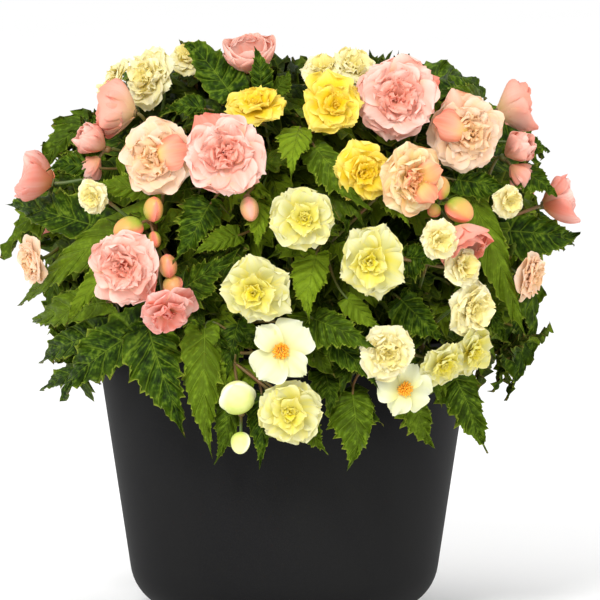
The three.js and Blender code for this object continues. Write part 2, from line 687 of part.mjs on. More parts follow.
// Where a bloom's seat lies and which way it faces. slide moves it out along its axis.
function bloomPlace(part, slide) {
  const centre = part.px ? seen(part.px) : around(part.at[0], part.at[1]);
  const outward = moundNormal(centre);
  const axis = part.px ? towards(...part.face) : outward.clone().add(towards(part.at[0], 0)).normalize();
  const out = part.px ? TO_VIEWER : axis;
  const seat = centre
    .addScaledVector(out, part.out ?? 0)
    .addScaledVector(outward, slide)
    .addScaledVector(axis, -0.3 * part.radius);
  return { seat, axis };
}

const SLIDES = [0, 4, -4, 8, -8, 12, -12, 16, -16, 20, 24, 28, 32, 36];

function placeBlooms() {
  const seats = [];
  const solids = new Map();
  BLOOMS.forEach((bloom, b) => {
    const name = 'bloom_' + bloom.name;
    const slide = SLIDES.find((s) => !clash(bloomSolid(bloom, b, s)));
    if (slide === undefined) throw new Error(name + ' meets its neighbours');
    const solid = bloomSolid(bloom, b, slide);
    solids.set(name, solid);
    keep(name, solid);
    seats.push({ name, radius: bloom.radius, ...bloomPlace(bloom, slide) });
  });
  return { seats, solids };
}

// A bloom, or two that grow from one short joint between their hearts.
function bloomSolid(bloom, b, slide) {
  const parts = bloom.beside ? [bloom, bloom.beside] : [bloom];
  const places = parts.map((part) => bloomPlace(part, slide));
  const bodies = parts.map((part, k) => {
    const shape = { ...part, seed: 10 * b + k };
    const body = part.single ? singleBloom(shape) : doubleBloom(shape);
    return moved(body, basisOf(places[k].axis, places[k].seat, draw(b, k) * Math.PI));
  });
  if (bodies.length === 1) return bodies[0];
  const hearts = places.map(({ seat, axis }, k) => seat.addScaledVector(axis, 0.25 * parts[k].radius));
  return bodies[0].add(bodies[1]).add(stalk(hearts, 2, 4));
}

function placeBuds(seats, solids) {
  BUD_SPRAYS.forEach((spray, b) => {
    const axis = towards(...spray.face);
    const across = vec(0, 0, 1).cross(axis).normalize();
    const up = axis.clone().cross(across);
    const joint = seen(spray.px, 0.93);
    let whole = moved(solidOf(new THREE.SphereGeometry(SEAT, 4, 3)), basisOf(axis, joint, 0));
    spray.buds.forEach(([right, rise, size], k) => {
      const hung = joint.clone().addScaledVector(across, right).addScaledVector(up, rise);
      const centre = hung.addScaledVector(axis, size);
      const hang = centre.clone().sub(joint).normalize();
      const body = moved(solidOf(budBody(size)), basisOf(hang, centre, draw(b, k) * Math.PI));
      whole = whole.add(body).add(stalk([joint, centre], BUD.stalk, STALK.sides));
    });
    const slide = SLIDES.find((s) => !clash(whole.translate(axis.clone().multiplyScalar(s).toArray())));
    if (slide === undefined) throw new Error(spray.name + ' meets its neighbours');
    const solid = whole.translate(axis.clone().multiplyScalar(slide).toArray());
    solids.set(spray.name, solid);
    keep(spray.name, solid);
    const seat = joint.clone().addScaledVector(axis, slide - SEAT);
    seats.push({ name: spray.name, seat, axis, radius: 14 });
  });
}

// ---- Leafy stems -------------------------------------------------------------------------------------
const TRUNK = { radius: 5, sides: 5 };
const SHOOT = { radius: 4, sides: 3 };
const STALK = { radius: 1.7, sides: 3 };
const NECK = 0.45; // length of the straight neck behind a bloom, as a share of the bloom's radius

// The top of a stem's trunk, where its shoots part.
function forkOf(stem) {
  const lean = stem.ring ? 12 : 0;
  return crownOf(stem).addScaledVector(towards(stem.at, 0), lean).setZ(stem.ring ? 238 : 262);
}

// The shoots of a stem from its fork, each as a middle and an end: outer stems send one over the rim, one
// out and one up.
function shootsOf(stem) {
  const fork = forkOf(stem);
  const place = (r, z, turn) => towards(stem.at + turn, 0).multiplyScalar(r).setZ(z);
  if (stem.ring === 0) {
    return [20, 140, 260].map((turn) => [fork, place(30, 322, turn), place(66, 374, turn)]);
  }
  return [
    [fork, place(138, 252, -9), place(174, 212, -13)],
    [fork, place(128, 280, 9), place(162, 304, 13)],
    [fork, place(108, 308, -2), place(128, 362, -4)],
  ];
}

function stemSolid(stem) {
  const { radius, deep, high, sides } = CROWN;
  const crown = new THREE.CylinderGeometry(radius, radius, deep + high, sides);
  crown.rotateX(Math.PI / 2);
  const foot = crownOf(stem);
  crown.translate(foot.x, foot.y, SOIL.top - deep + (deep + high) / 2);
  const trunk = stalk([foot.setZ(SOIL.top), forkOf(stem)], TRUNK.radius, TRUNK.sides);
  const shoots = shootsOf(stem).map((path) => stalk(path, SHOOT.radius, SHOOT.sides));
  return [trunk, ...shoots].reduce((whole, one) => whole.add(one), solidOf(crown));
}

// Places along the shoots where a stalk may leave, each by one stalk only.
const START_SHARES = [0.1, 0.28, 0.46, 0.64, 0.82, 0.98];
const STARTS = STEMS.flatMap((stem) =>
  shootsOf(stem).flatMap((path) =>
    [0, 1].flatMap((half) =>
      START_SHARES.map((t) => ({ name: stem.name, from: mix(path[half], path[half + 1], t), free: true })),
    ),
  ),
);

function startsFor(target) {
  const free = STARTS.filter((start) => start.free);
  return free.sort((a, b) => a.from.distanceToSquared(target) - b.from.distanceToSquared(target));
}

const stemSolids = new Map(STEMS.map((stem) => [stem.name, [stemSolid(stem)]]));

// The first of some ways to place a solid that meets nothing, or else the first that meets only other
// growth of its own piece. Each way has its start on a shoot and makes its solid when asked.
function leastClash(ways) {
  let spare = null;
  for (const { start, make } of ways) {
    const solid = make();
    const worst = clash(solid, start.name);
    if (worst === 0) return { start, solid };
    if (worst === 1) spare ??= { start, solid };
  }
  return spare;
}

function grow({ start, solid }) {
  start.free = false;
  stemSolids.get(start.name).push(solid);
  keep(start.name, solid);
}

// A bloom's stalk runs from a shoot to the bloom's seat and meets it square.
function placeBloomStalks(seats) {
  for (const { name, seat, axis, radius } of seats) {
    const end = seat.clone().addScaledVector(axis, -GAP);
    const neck = seat.clone().addScaledVector(axis, -GAP - NECK * radius);
    const ways = startsFor(neck).map((start) => ({
      start,
      make: () => stalk([start.from, neck, end], STALK.radius, STALK.sides),
    }));
    const way = leastClash(ways);
    if (!way) throw new Error('no way to ' + name);
    grow(way);
  }
}

const STARTS_TRIED = 14; // for each turn of a leaf

function placeLeaves() {
  leafPlaces().forEach((place, k) => {
    const starts = startsFor(place.base).slice(0, STARTS_TRIED);
    const ways = LEAF_TURNS.flatMap((change) => {
      const leaf = turnedLeaf(place, change);
      return starts.map((start) => ({ start, make: () => leafSolid(leaf, start.from) }));
    });
    const way = leastClash(ways);
    if (!way) throw new Error('leaf ' + k + ' has no room');
    grow(way);
  });
}

// ---- The whole plant in its planter ------------------------------------------------------------------
const begonia = new THREE.Group();

function addPiece(name, solid, material) {
  const mesh = new THREE.Mesh(geometryOf(solid), material);
  mesh.name = name;
  begonia.add(mesh);
}

const pot = potSolid();
const soil = soilSolid();
keep('pot', pot);
keep('soil', soil);
const { seats, solids } = placeBlooms();
placeBuds(seats, solids);
for (const [name, [stem]] of stemSolids) keep(name, stem, true);
placeBloomStalks(seats);
placeLeaves();

addPiece('pot', pot, MATERIALS.pot);
addPiece('soil', soil, MATERIALS.soil);
for (const [name, pieces] of stemSolids) {
  addPiece(name, pieces.reduce((whole, one) => whole.add(one)), MATERIALS.leaf);
}
for (const [name, solid] of solids) addPiece(name, solid, MATERIALS[name.split('_')[1]] ?? MATERIALS.bud);

export default begonia;
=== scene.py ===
"""A potted trailing begonia in full bloom: a mound of toothed leaves with double and single flowers and
closed buds, growing out of a plain charcoal planter. Metres, +Z up, the front towards -Y. Places come from
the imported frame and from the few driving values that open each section."""

from collections import namedtuple

import bpy
import numpy as np
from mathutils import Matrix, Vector


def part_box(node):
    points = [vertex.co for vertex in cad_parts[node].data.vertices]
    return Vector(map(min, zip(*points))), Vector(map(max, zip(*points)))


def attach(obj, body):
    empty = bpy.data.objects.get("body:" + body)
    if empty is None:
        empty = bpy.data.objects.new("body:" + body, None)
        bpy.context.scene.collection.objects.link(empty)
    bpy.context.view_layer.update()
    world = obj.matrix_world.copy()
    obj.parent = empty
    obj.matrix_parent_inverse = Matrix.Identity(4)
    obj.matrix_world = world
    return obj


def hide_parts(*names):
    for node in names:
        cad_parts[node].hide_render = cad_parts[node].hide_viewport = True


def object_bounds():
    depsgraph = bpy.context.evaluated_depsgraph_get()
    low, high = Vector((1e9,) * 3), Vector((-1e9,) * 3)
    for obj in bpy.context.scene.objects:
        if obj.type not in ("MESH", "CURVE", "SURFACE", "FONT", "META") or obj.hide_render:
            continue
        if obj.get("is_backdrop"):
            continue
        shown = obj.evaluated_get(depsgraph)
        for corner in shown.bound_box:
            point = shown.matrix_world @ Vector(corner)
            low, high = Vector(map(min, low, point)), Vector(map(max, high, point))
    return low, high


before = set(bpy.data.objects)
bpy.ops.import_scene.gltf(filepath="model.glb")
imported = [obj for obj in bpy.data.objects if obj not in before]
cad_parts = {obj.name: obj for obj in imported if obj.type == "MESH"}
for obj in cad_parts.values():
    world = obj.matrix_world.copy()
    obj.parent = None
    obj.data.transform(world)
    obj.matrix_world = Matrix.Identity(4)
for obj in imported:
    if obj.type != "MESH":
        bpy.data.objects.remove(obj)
cad_low, cad_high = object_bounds()

# ---- The view ----------------------------------------------------------------------------------------
# A long lens looks at the front from five degrees above, as the photograph does. 600 pixels of it span
# 468 mm at the plant's front. Rows and columns anywhere below are pixels of that photograph.
MM = 0.001
PIXEL = 0.78 * MM
IMAGE_PIXELS = 600
AXIS_COLUMN = 284  # of the planter's axis
FLOOR_ROW = 614  # of the floor under that axis
TILT = np.radians(5)
VIEW_DISTANCE = 6.0
PLANT_FRONT = -0.12  # where the visible front lies along the line of sight, on average
SENSOR = 36


def new_object(name, data):
    """An object of the scene, at the origin."""
    item = bpy.data.objects.new(name, data)
    bpy.context.scene.collection.objects.link(item)
    return item


line_of_sight = np.array([0, np.cos(TILT), -np.sin(TILT)])
up_in_view = np.array([0, np.sin(TILT), np.cos(TILT)])
middle = np.array([(IMAGE_PIXELS / 2 - AXIS_COLUMN) * PIXEL, 0, 0])
middle = middle + up_in_view * (FLOOR_ROW - IMAGE_PIXELS / 2) * PIXEL
view = new_object("front_view", bpy.data.cameras.new("front_view"))
view.data.sensor_width = SENSOR
view.data.lens = SENSOR * VIEW_DISTANCE / (IMAGE_PIXELS * PIXEL)
view.location = middle + line_of_sight * (PLANT_FRONT - VIEW_DISTANCE)
view.rotation_euler = (np.pi / 2 - TILT, 0, 0)
bpy.context.scene.camera = view
bpy.context.scene.view_settings.view_transform = "Standard"

# ---- Studio light and floor --------------------------------------------------------------------------
# A white studio: even light from all round, a soft lamp high over the viewer's left shoulder, a weaker one
# from the right, and a pale floor that runs out of sight.
SKY_LIGHT = 1.0
LAMPS = [
    {"name": "key", "place": (-0.9, -2.7, 2.4), "watts": 82, "size": 1.1},
    {"name": "fill", "place": (2.2, -2.0, 1.4), "watts": 14, "size": 1.6},
]
FLOOR_SIZE = 30.0
LIT_POINT = (0, 0, 0.28)

world = bpy.data.worlds.new("studio")
world.use_nodes = True
bpy.context.scene.world = world
sky = world.node_tree.nodes["Background"]
sky.inputs["Color"].default_value = (1, 1, 1, 1)
sky.inputs["Strength"].default_value = SKY_LIGHT

for lamp in LAMPS:
    light = bpy.data.lights.new(lamp["name"], "AREA")
    light.shape = "DISK"
    light.size = lamp["size"]
    light.energy = lamp["watts"]
    holder = new_object(lamp["name"], light)
    holder.location = lamp["place"]
    holder.rotation_euler = (Vector(LIT_POINT) - holder.location).to_track_quat("-Z", "Y").to_euler()


def colour(red, green, blue):
    """Scene-linear colour from 0 to 255 display values: the display curve undone, then full opacity."""
    c = np.array([red, green, blue]) / 255
    linear = np.where(c <= 0.04045, c / 12.92, ((c + 0.055) / 1.055) ** 2.4)
    return (*linear.tolist(), 1.0)


class Pattern:
    """A number, colour or place that varies over a surface: one output of a shader node, with arithmetic."""

    def __init__(self, socket):
        self.socket = socket

    def __add__(self, other):
        return maths("ADD", self, other)

    def __sub__(self, other):
        return maths("SUBTRACT", self, other)

    def __rsub__(self, other):
        return maths("SUBTRACT", other, self)

    def __mul__(self, other):
        return maths("MULTIPLY", self, other)

    def __abs__(self):
        return maths("ABSOLUTE", self)


def shader_node(tree, kind, inputs, **settings):
    """A node of one kind, with its settings, whose inputs are constants or patterns."""
    node = tree.nodes.new("ShaderNode" + kind)
    for key, value in settings.items():
        setattr(node, key, value)
    for key, value in inputs.items():
        if isinstance(value, Pattern):
            tree.links.new(value.socket, node.inputs[key])
        else:
            node.inputs[key].default_value = value
    return node


def worked_out(kind, inputs, output=0, **settings):
    """A pattern that a new node works out from others."""
    tree = next(value.socket.id_data for value in inputs.values() if isinstance(value, Pattern))
    return Pattern(shader_node(tree, kind, inputs, **settings).outputs[output])


def maths(operation, *values):
    """One arithmetic step on numbers."""
    return worked_out("Math", dict(enumerate(values)), operation=operation)


def smooth_step(value, start, end):
    """0 before start and 1 after end, with a smooth rise between them; it falls where end is below start."""
    return worked_out("MapRange", {0: value, 1: start, 2: end}, interpolation_type="SMOOTHSTEP")


def mixed(share, first, second):
    """Two colours mixed, with a share of the second."""
    return worked_out("Mix", {0: share, 6: first, 7: second}, 2, data_type="RGBA", blend_type="MIX")


def noise(place, scale, detail=3.0):
    """Cloudy noise about 0.5 over a place, in `scale` waves for each unit of it."""
    return worked_out("TexNoise", {"Vector": place, "Scale": scale, "Detail": detail})


def place_on(shader):
    """The piece's own coordinates, in metres."""
    return Pattern(shader_node(shader.id_data, "TexCoord", {}).outputs["Object"])


def marks_on(shader, name):
    """The three numbers that a piece's points carry under a name."""
    stored = Pattern(shader_node(shader.id_data, "Attribute", {}, attribute_name=name).outputs["Vector"])
    return [Pattern(part) for part in shader_node(shader.id_data, "SeparateXYZ", {0: stored}).outputs]


def new_material(name, **plain_values):
    """A material and its shader, whose plain values are set on its own sockets."""
    material = bpy.data.materials.new(name)
    material.use_nodes = True
    shader = material.node_tree.nodes["Principled BSDF"]
    for key, value in plain_values.items():
        shader.inputs[key.replace("_", " ")].default_value = value
    return material, shader


def feed(node, key, pattern):
    """A pattern led into a node."""
    node.id_data.links.new(pattern.socket, node.inputs[key])


def finish_surface(shader, base_colour, height, strength, depth):
    """Gives a shader its colour, and bumps `depth` metres deep from a height between 0 and 1."""
    feed(shader, "Base Color", base_colour)
    feed(shader, "Normal", worked_out("Bump", {"Height": height, "Strength": strength, "Distance": depth}))


floor_mesh = bpy.data.meshes.new("floor")
corners = np.array([[-1, -1, 0], [1, -1, 0], [1, 1, 0], [-1, 1, 0]]) * FLOOR_SIZE / 2
floor_mesh.from_pydata(corners.tolist(), [], [(0, 1, 2, 3)])
floor = new_object("floor", floor_mesh)
floor_material, shader = new_material("pale_floor", Roughness=1.0, Specular_IOR_Level=0.0)
floor_tone = noise(place_on(shader), 3.0)
feed(shader, "Base Color", mixed(floor_tone, colour(255, 255, 255), colour(253, 253, 253)))
floor_mesh.materials.append(floor_material)
floor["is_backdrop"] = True

# ---- Planter -----------------------------------------------------------------------------------------
# A round, tapered planter, moulded in one piece of charcoal resin with a matt, very finely grained skin.
# It has a rounded lower edge and a rolled rim. Its height and rim come from the frame.
PLANTER_TAPER = 0.15  # how far the wall leans out for each metre of height
FOOT_ROUND = 40 * MM
WALL = 3.6 * MM
LIP = 3 * MM  # how much the rolled rim thickens inwards
LIP_DEPTH = 9 * MM
RIM_ROUND = 1.2 * MM
PLANTER_SEGMENTS = 144
SHARP_FROM = np.radians(62)  # angle between two faces from which the edge between them shows
_, planter_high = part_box("pot")
RIM_RADIUS = planter_high.x
PLANTER_HEIGHT = planter_high.z


def foot_arc(inset, steps):
    """Points of the rounded lower edge: an arc that is tangent to the floor and to the leaning wall."""
    lean = np.arctan(PLANTER_TAPER)
    tangent = FOOT_ROUND * (1 - np.sin(lean))
    centre = RIM_RADIUS - PLANTER_TAPER * (PLANTER_HEIGHT - tangent) - FOOT_ROUND * np.cos(lean)
    a = np.linspace(-np.pi / 2, -lean, steps)
    radius = FOOT_ROUND - inset
    return np.stack([centre + radius * np.cos(a), FOOT_ROUND + radius * np.sin(a)], 1)


def rim_arc(centre_radius, first, last):
    """Points of a small arc at the rim, from a first to a last angle in degrees."""
    a = np.radians(np.linspace(first, last, 5))
    centre = np.array([centre_radius, PLANTER_HEIGHT - RIM_ROUND])
    return centre + RIM_ROUND * np.stack([np.cos(a), np.sin(a)], 1)


def straight(start, end, steps):
    """Points between two ends, which are left out."""
    t = np.linspace(0, 1, steps + 2)[1:-1, None]
    return np.array(start) * (1 - t) + np.array(end) * t


def stacked(*parts):
    """Numbers of any matching shapes as the parts of vectors."""
    return np.stack(np.broadcast_arrays(*parts), -1)


def grid_quads(rows, columns, around=False):
    """Quads between neighbours of a grid stored row by row; around joins its last column to its first."""
    r = np.arange(rows - 1)[:, None]
    c = np.arange(columns if around else columns - 1)[None, :]
    d = (c + 1) % columns
    corner_numbers = r * columns + c, r * columns + d, (r + 1) * columns + d, (r + 1) * columns + c
    return stacked(*corner_numbers).reshape(-1, 4)


def turned(profile, segments):
    """Profile points (radius, height) turned about the Z axis, with a fan to a pole at each end. The first
    and the last point of the profile are the poles, and it runs so that the inside is on its left."""
    a = np.linspace(0, 2 * np.pi, segments, endpoint=False)
    rings = profile[1:-1]
    r, z = rings[:, :1], rings[:, 1:]
    body = stacked(r * np.cos(a), r * np.sin(a), z).reshape(-1, 3)
    poles = np.array([[0, 0, profile[0, 1]], [0, 0, profile[-1, 1]]])
    j = np.arange(segments)
    k = (j + 1) % segments
    last = (len(rings) - 1) * segments
    under = stacked(len(body), k, j)
    over = stacked(len(body) + 1, last + j, last + k)
    return np.concatenate([body, poles]), [grid_quads(len(rings), segments, around=True), under, over]


def add_piece(name, parts, slot, *nodes):
    """One object at the origin, hung from the root body, in place of some nodes whose solids it hides. A
    part has points, a list of whole arrays of faces, a material and, where its pattern needs them, the place
    and tone of each point."""
    mesh = bpy.data.meshes.new(name)
    faces = []
    material_of = []
    marks = []
    first = 0
    for number, (points, part_faces, material, *part_marks) in enumerate(parts):
        mesh.materials.append(material)
        for block in part_faces:
            faces += (block + first).tolist()
            material_of.append(np.full(len(block), number))
        marks.append(part_marks + [np.zeros((len(points), 3))] * (2 - len(part_marks)))
        first += len(points)
    mesh.from_pydata(np.concatenate([part[0] for part in parts]).tolist(), [], faces)
    mesh.polygons.foreach_set("material_index", np.concatenate(material_of))
    for mark, values in zip(("place", "tone"), zip(*marks)):
        layer = mesh.attributes.new(mark, "FLOAT_VECTOR", "POINT")
        layer.data.foreach_set("vector", np.concatenate(values).astype(np.float32).ravel())
    mesh.shade_smooth()
    mesh.set_sharp_from_angle(angle=SHARP_FROM)
    piece = new_object(name, mesh)
    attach(piece, "root")
    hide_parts(*nodes)


lip_radius = RIM_RADIUS - WALL - LIP
lip_foot = [RIM_RADIUS - WALL - PLANTER_TAPER * (LIP_DEPTH + LIP), PLANTER_HEIGHT - LIP_DEPTH - LIP]
outer_foot = foot_arc(0, 14)
inner_foot = foot_arc(WALL, 10)[::-1]
planter_profile = np.concatenate([
    [[0, 0]],
    straight([0, 0], outer_foot[0], 6),
    outer_foot,
    straight(outer_foot[-1], [RIM_RADIUS, PLANTER_HEIGHT - RIM_ROUND], 16),
    rim_arc(RIM_RADIUS - RIM_ROUND, 0, 90),
    rim_arc(lip_radius + RIM_ROUND, 90, 180),
    [[lip_radius, PLANTER_HEIGHT - LIP_DEPTH], lip_foot],
    straight(lip_foot, inner_foot[0], 14),
    inner_foot,
    [[0, WALL]],
])
resin, shader = new_material("charcoal_resin", Roughness=0.7, Specular_IOR_Level=0.05)
place = place_on(shader)
grain = noise(place, 1400.0, 2.0)
skin = mixed(smooth_step(noise(place, 9.0), 0.35, 0.7), colour(24, 24, 25), colour(27, 27, 27))
skin = mixed(smooth_step(grain, 0.4, 0.75), skin, colour(31, 31, 31))
feed(shader, "Roughness", grain * 0.16 + 0.5)
finish_surface(shader, skin, grain, 0.35, 0.25 * MM)
add_piece("planter", [(*turned(planter_profile, PLANTER_SEGMENTS), resin)], "pot", "pot")

# ---- Compost -----------------------------------------------------------------------------------------
# Dark, crumbly compost fills the planter to just under its rim. It is one body with a rough top.
COMPOST_TOP = 202 * MM
COMPOST_SEGMENTS = 150
COMPOST_RINGS = 60
COMPOST_CLEAR = 0.4 * MM
CRUMB = 1.6 * MM
CRUMB_SEED = 11

edge = RIM_RADIUS - PLANTER_TAPER * (PLANTER_HEIGHT - COMPOST_TOP) - WALL - COMPOST_CLEAR
compost_profile = np.concatenate([
    [[0, WALL + COMPOST_CLEAR]],
    foot_arc(WALL + COMPOST_CLEAR, 8),
    straight([edge, COMPOST_TOP], [0, COMPOST_TOP], COMPOST_RINGS),
    [[0, COMPOST_TOP]],
])
points, faces = turned(compost_profile, COMPOST_SEGMENTS)
x, y, z = points.T
crumbs = np.random.default_rng(CRUMB_SEED).normal(0, 0.45, len(x))
crumbs = crumbs + np.sin(x * 190) * np.cos(y * 170) + 0.6 * np.sin(x * 410 + y * 330)
on_top = (z > COMPOST_TOP - MM) & (np.hypot(x, y) < edge - 2 * MM)
points[:, 2] += np.where(on_top, np.clip(crumbs, -1.3, 1.3) * CRUMB, 0)
compost, shader = new_material("damp_compost", Roughness=0.95, Specular_IOR_Level=0.2)
place = place_on(shader)
clods = noise(place, 160.0, 6.0)
fibres = noise(place, 700.0)
earth = mixed(smooth_step(clods, 0.3, 0.7), colour(24, 17, 12), colour(58, 41, 28))
earth = mixed(smooth_step(fibres, 0.62, 0.72), earth, colour(96, 72, 48))
finish_surface(shader, earth, clods, 0.9, 2 * MM)
add_piece("compost", [(points, faces, compost)], "soil", "soil")

# ---- Leafy stems: where they grow --------------------------------------------------------------------
# Eight begonia plants stand in the compost, each with a crown, a fleshy trunk and three shoots. Leaves and
# flowers fill a dome of revolution over the rim. This repeats the rule that placed the plants' solids.
MOUND_X = 6 * MM  # of its axis
MOUND_LEVEL = 285 * MM  # where it is widest
MOUND_RADIUS = 212 * MM
MOUND_RISE = 165 * MM
SQUARENESS = 2.4
HANG = 0.12  # how far it draws in for each metre below its widest level
STEMS = [  # name, compass direction in degrees, and distance from the axis in millimetres
    ("front", 0, 82), ("front_right", 52, 84), ("right", 103, 84), ("back_right", 155, 84),
    ("back_left", 206, 84), ("left", 257, 84), ("front_left", 309, 84), ("middle", 0, 0),
]
# The middle and the end of each shoot: distance from the axis and height in millimetres, and turn.
OUTER_SHOOTS = [
    [(138, 252, -9), (174, 212, -13)], [(128, 280, 9), (162, 304, 13)], [(108, 308, -2), (128, 362, -4)],
]
MIDDLE_SHOOTS = [[(30, 322, turn), (66, 374, turn)] for turn in (20, 140, 260)]
FORK_LEAN, FORK_HEIGHT, MIDDLE_FORK_HEIGHT = 12, 238, 262  # of the trunks' ends, in millimetres
START_SHARES = np.array([0.1, 0.28, 0.46, 0.64, 0.82, 0.98])  # along a shoot, where stalks leave it


def unit(v):
    """Vectors scaled to length one."""
    return v / np.maximum(np.linalg.norm(v, axis=-1, keepdims=True), 1e-12)


def towards(degrees, pitch=0):
    """Directions by compass, 0 the front and 90 the right, and by height above the horizon, in degrees."""
    a, p = np.radians(degrees), np.radians(pitch)
    return stacked(np.cos(p) * np.sin(a), -np.cos(p) * np.cos(a), np.sin(p))


def mound_radius(z):
    """The dome's radius at a height: a superellipse above its widest level, drawn in a little below it."""
    up = np.clip((z - MOUND_LEVEL) / MOUND_RISE, 0, 1)
    dome = MOUND_RADIUS * (1 - up**SQUARENESS) ** (1 / SQUARENESS)
    return np.where(z < MOUND_LEVEL, MOUND_RADIUS - HANG * (MOUND_LEVEL - z), dome)


def mound_normal(p):
    """Outward direction of the dome: level with its axis outwards, raised by the slope of its radius."""
    step = 0.5 * MM
    slope = (mound_radius(p[..., 2] + step) - mound_radius(p[..., 2] - step)) / (2 * step)
    flat = (p - [MOUND_X, 0, 0]) * [1, 1, 0]
    flat = np.where(np.linalg.norm(flat, axis=-1, keepdims=True) < MM, 0, unit(flat))
    return unit(flat + np.clip(-slope, 0.05, 4)[..., None] * [0, 0, 1])


def on_line(pixels, y):
    """Points at the depths y on the lines of sight of some pixels."""
    column, row = np.moveaxis(np.asarray(pixels, float), -1, 0)
    z = ((FLOOR_ROW - row) * PIXEL - y * np.sin(TILT)) / np.cos(TILT)
    return stacked((column - AXIS_COLUMN) * PIXEL, y, z)


def seen(pixels, share=1.0):
    """Points that pixels show, on the dome drawn in to a share of its radius. The depth is found by going
    part of the way to the dome's front again and again; beyond the dome it is that of its axis."""
    y = np.full(len(pixels), -0.1)
    for _ in range(60):
        x, _, z = on_line(pixels, y).T
        reach = (mound_radius(z) * share) ** 2 - (x - MOUND_X) ** 2
        y = y + 0.3 * (-np.sqrt(np.maximum(reach, 0)) - y)
    return on_line(pixels, y)


def around(degrees, z, share=1.0):
    """Points of the dome by compass and height."""
    return towards(degrees) * (mound_radius(z) * share)[..., None] + stacked(MOUND_X, 0, z)


def draw(a, b):
    """A repeatable number between 0 and 1 for whole numbers: the fraction of a large sine."""
    return np.modf(np.sin(a * 127.1 + b * 311.7 + 74.7) * 43758.5453)[0] % 1.0


def shoots_of(at, ring):
    """A stem's three shoots as three points each. All begin at the fork of its trunk, which leans out."""
    if ring:
        fork, ways = towards(at) * (ring + FORK_LEAN) * MM + [0, 0, FORK_HEIGHT * MM], OUTER_SHOOTS
    else:
        fork, ways = np.array([0, 0, MIDDLE_FORK_HEIGHT * MM]), MIDDLE_SHOOTS
    return [[fork] + [towards(at + turn) * r * MM + [0, 0, z * MM] for r, z, turn in way] for way in ways]


shoots = np.array([shoots_of(at, ring) for _, at, ring in STEMS])
starts = shoots[:, :, :-1, None] + START_SHARES[:, None] * np.diff(shoots, axis=2)[..., None, :]
start_stem = np.repeat(np.arange(len(STEMS)), starts[0].size // 3)
starts = starts.reshape(-1, 3)


def mesh_arrays(node):
    """A node's points and its triangles."""
    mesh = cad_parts[node].data
    points = np.zeros(len(mesh.vertices) * 3)
    corners = np.zeros(len(mesh.loops), int)
    mesh.vertices.foreach_get("co", points)
    mesh.loops.foreach_get("vertex_index", corners)
    return points.reshape(-1, 3), corners.reshape(-1, 3)


# ---- Leafy stems: the leaves' places -----------------------------------------------------------------
# Each leaf is a lopsided, long-pointed blade on a thin stalk. Those of the front lie where the photograph
# shows them, by the pixels of base and tip; rows and a crown of leaves cover the rest.
FRONT_LEAVES = [  # column and row of the base, column and row of the tip, and width
    (102, 228, 2, 200, 48), (150, 214, 14, 314, 38), (118, 262, 66, 325, 30), (108, 302, 28, 326, 40),
    (106, 332, 38, 364, 38), (146, 326, 54, 399, 60), (98, 366, 36, 393, 26), (148, 322, 189, 436, 68),
    (206, 326, 209, 457, 46), (236, 390, 221, 462, 32), (262, 392, 250, 467, 30), (306, 420, 323, 452, 26),
    (352, 392, 358, 467, 52), (408, 392, 420, 453, 38), (452, 372, 483, 455, 48), (474, 326, 480, 370, 30),
    (482, 306, 507, 344, 30), (464, 186, 523, 340, 46), (502, 230, 584, 240, 50), (518, 168, 558, 196, 36),
    (518, 142, 552, 148, 26), (98, 140, 69, 126, 26), (94, 168, 48, 164, 32), (150, 190, 88, 190, 30),
    (232, 96, 184, 38, 48), (206, 110, 166, 112, 32), (262, 92, 257, 47, 26), (276, 92, 293, 74, 22),
    (300, 130, 288, 178, 38), (314, 148, 363, 216, 40), (212, 204, 182, 266, 46), (240, 236, 192, 254, 26),
    (180, 292, 242, 256, 44), (262, 198, 258, 248, 32), (316, 254, 302, 322, 42), (312, 318, 380, 353, 42),
    (346, 298, 386, 340, 28), (398, 298, 442, 346, 42), (404, 258, 458, 272, 48), (384, 196, 422, 226, 24),
    (328, 338, 382, 384, 30), (454, 180, 512, 204, 34), (482, 98, 440, 86, 24),
]
# By the tip of such a leaf: how far the tip stands out to the viewer in millimetres, how lime green the
# leaf is, and the depths of base and tip in millimetres, where the solid had too little room.
STANDS_OUT = {
    (54, 399): 6, (189, 436): 8, (88, 190): 8, (363, 216): 10, (380, 353): 12, (458, 272): 8, (422, 226): 14,
    (382, 384): 4,
}
LIME = {
    (66, 325): 0.6, (209, 457): 0.35, (323, 452): 0.3, (288, 178): 0.8, (192, 254): 0.4, (258, 248): 0.7,
    (302, 322): 0.8, (386, 340): 0.6, (422, 226): 0.5,
}
DEPTHS = {
    (523, 340): (-109, -100), (584, 240): (-68, -24), (558, 196): (-76, -84), (552, 148): (-60, -50),
    (48, 164): (-110, -114), (184, 38): (-118, -76), (257, 47): (-128, -124), (363, 216): (-158, -194),
}
# First and last compass direction, count, and the heights of bases and tips in millimetres.
BACK_ROWS = [(82, 278, 9, 252, 170), (84, 276, 8, 292, 226), (78, 282, 8, 342, 290), (70, 290, 6, 392, 352),
             (90, 270, 3, 420, 412)]
BACK_LONG, BACK_LONGER = 74, 24  # millimetres: the shortest, and how much longer the longest is
BACK_WIDE, BACK_WIDER = 42, 14
BACK_SWAY = 26  # degrees
TOP_LEAVES, TOP_FIRST, TOP_WIDE = 5, 24, 58 * MM
TOP_ENDS = [(34, 392), (124, 404)]  # distance from the axis and height of bases and tips, in millimetres
BASE_SHARE, TIP_SHARE, BACK_TIP_SHARE = 0.84, 0.98, 1.02  # how far out of the mound bases and tips are
TO_VIEWER = unit(np.array([0, -1, 0.25]))
# How far the facing of a front leaf is turned from the viewer towards the outside of the mound.
OUTWARDS, WHOLE_OUTWARDS = 0.7, 0.4
LEAF_ARCH = 0.1  # height of its arch as a share of its length
LEAF_FOLD = np.radians(13)  # how far each half slopes down from the rib
LEAF_LOPSIDED = 0.16
LEAF_SMALL = 90 * MM
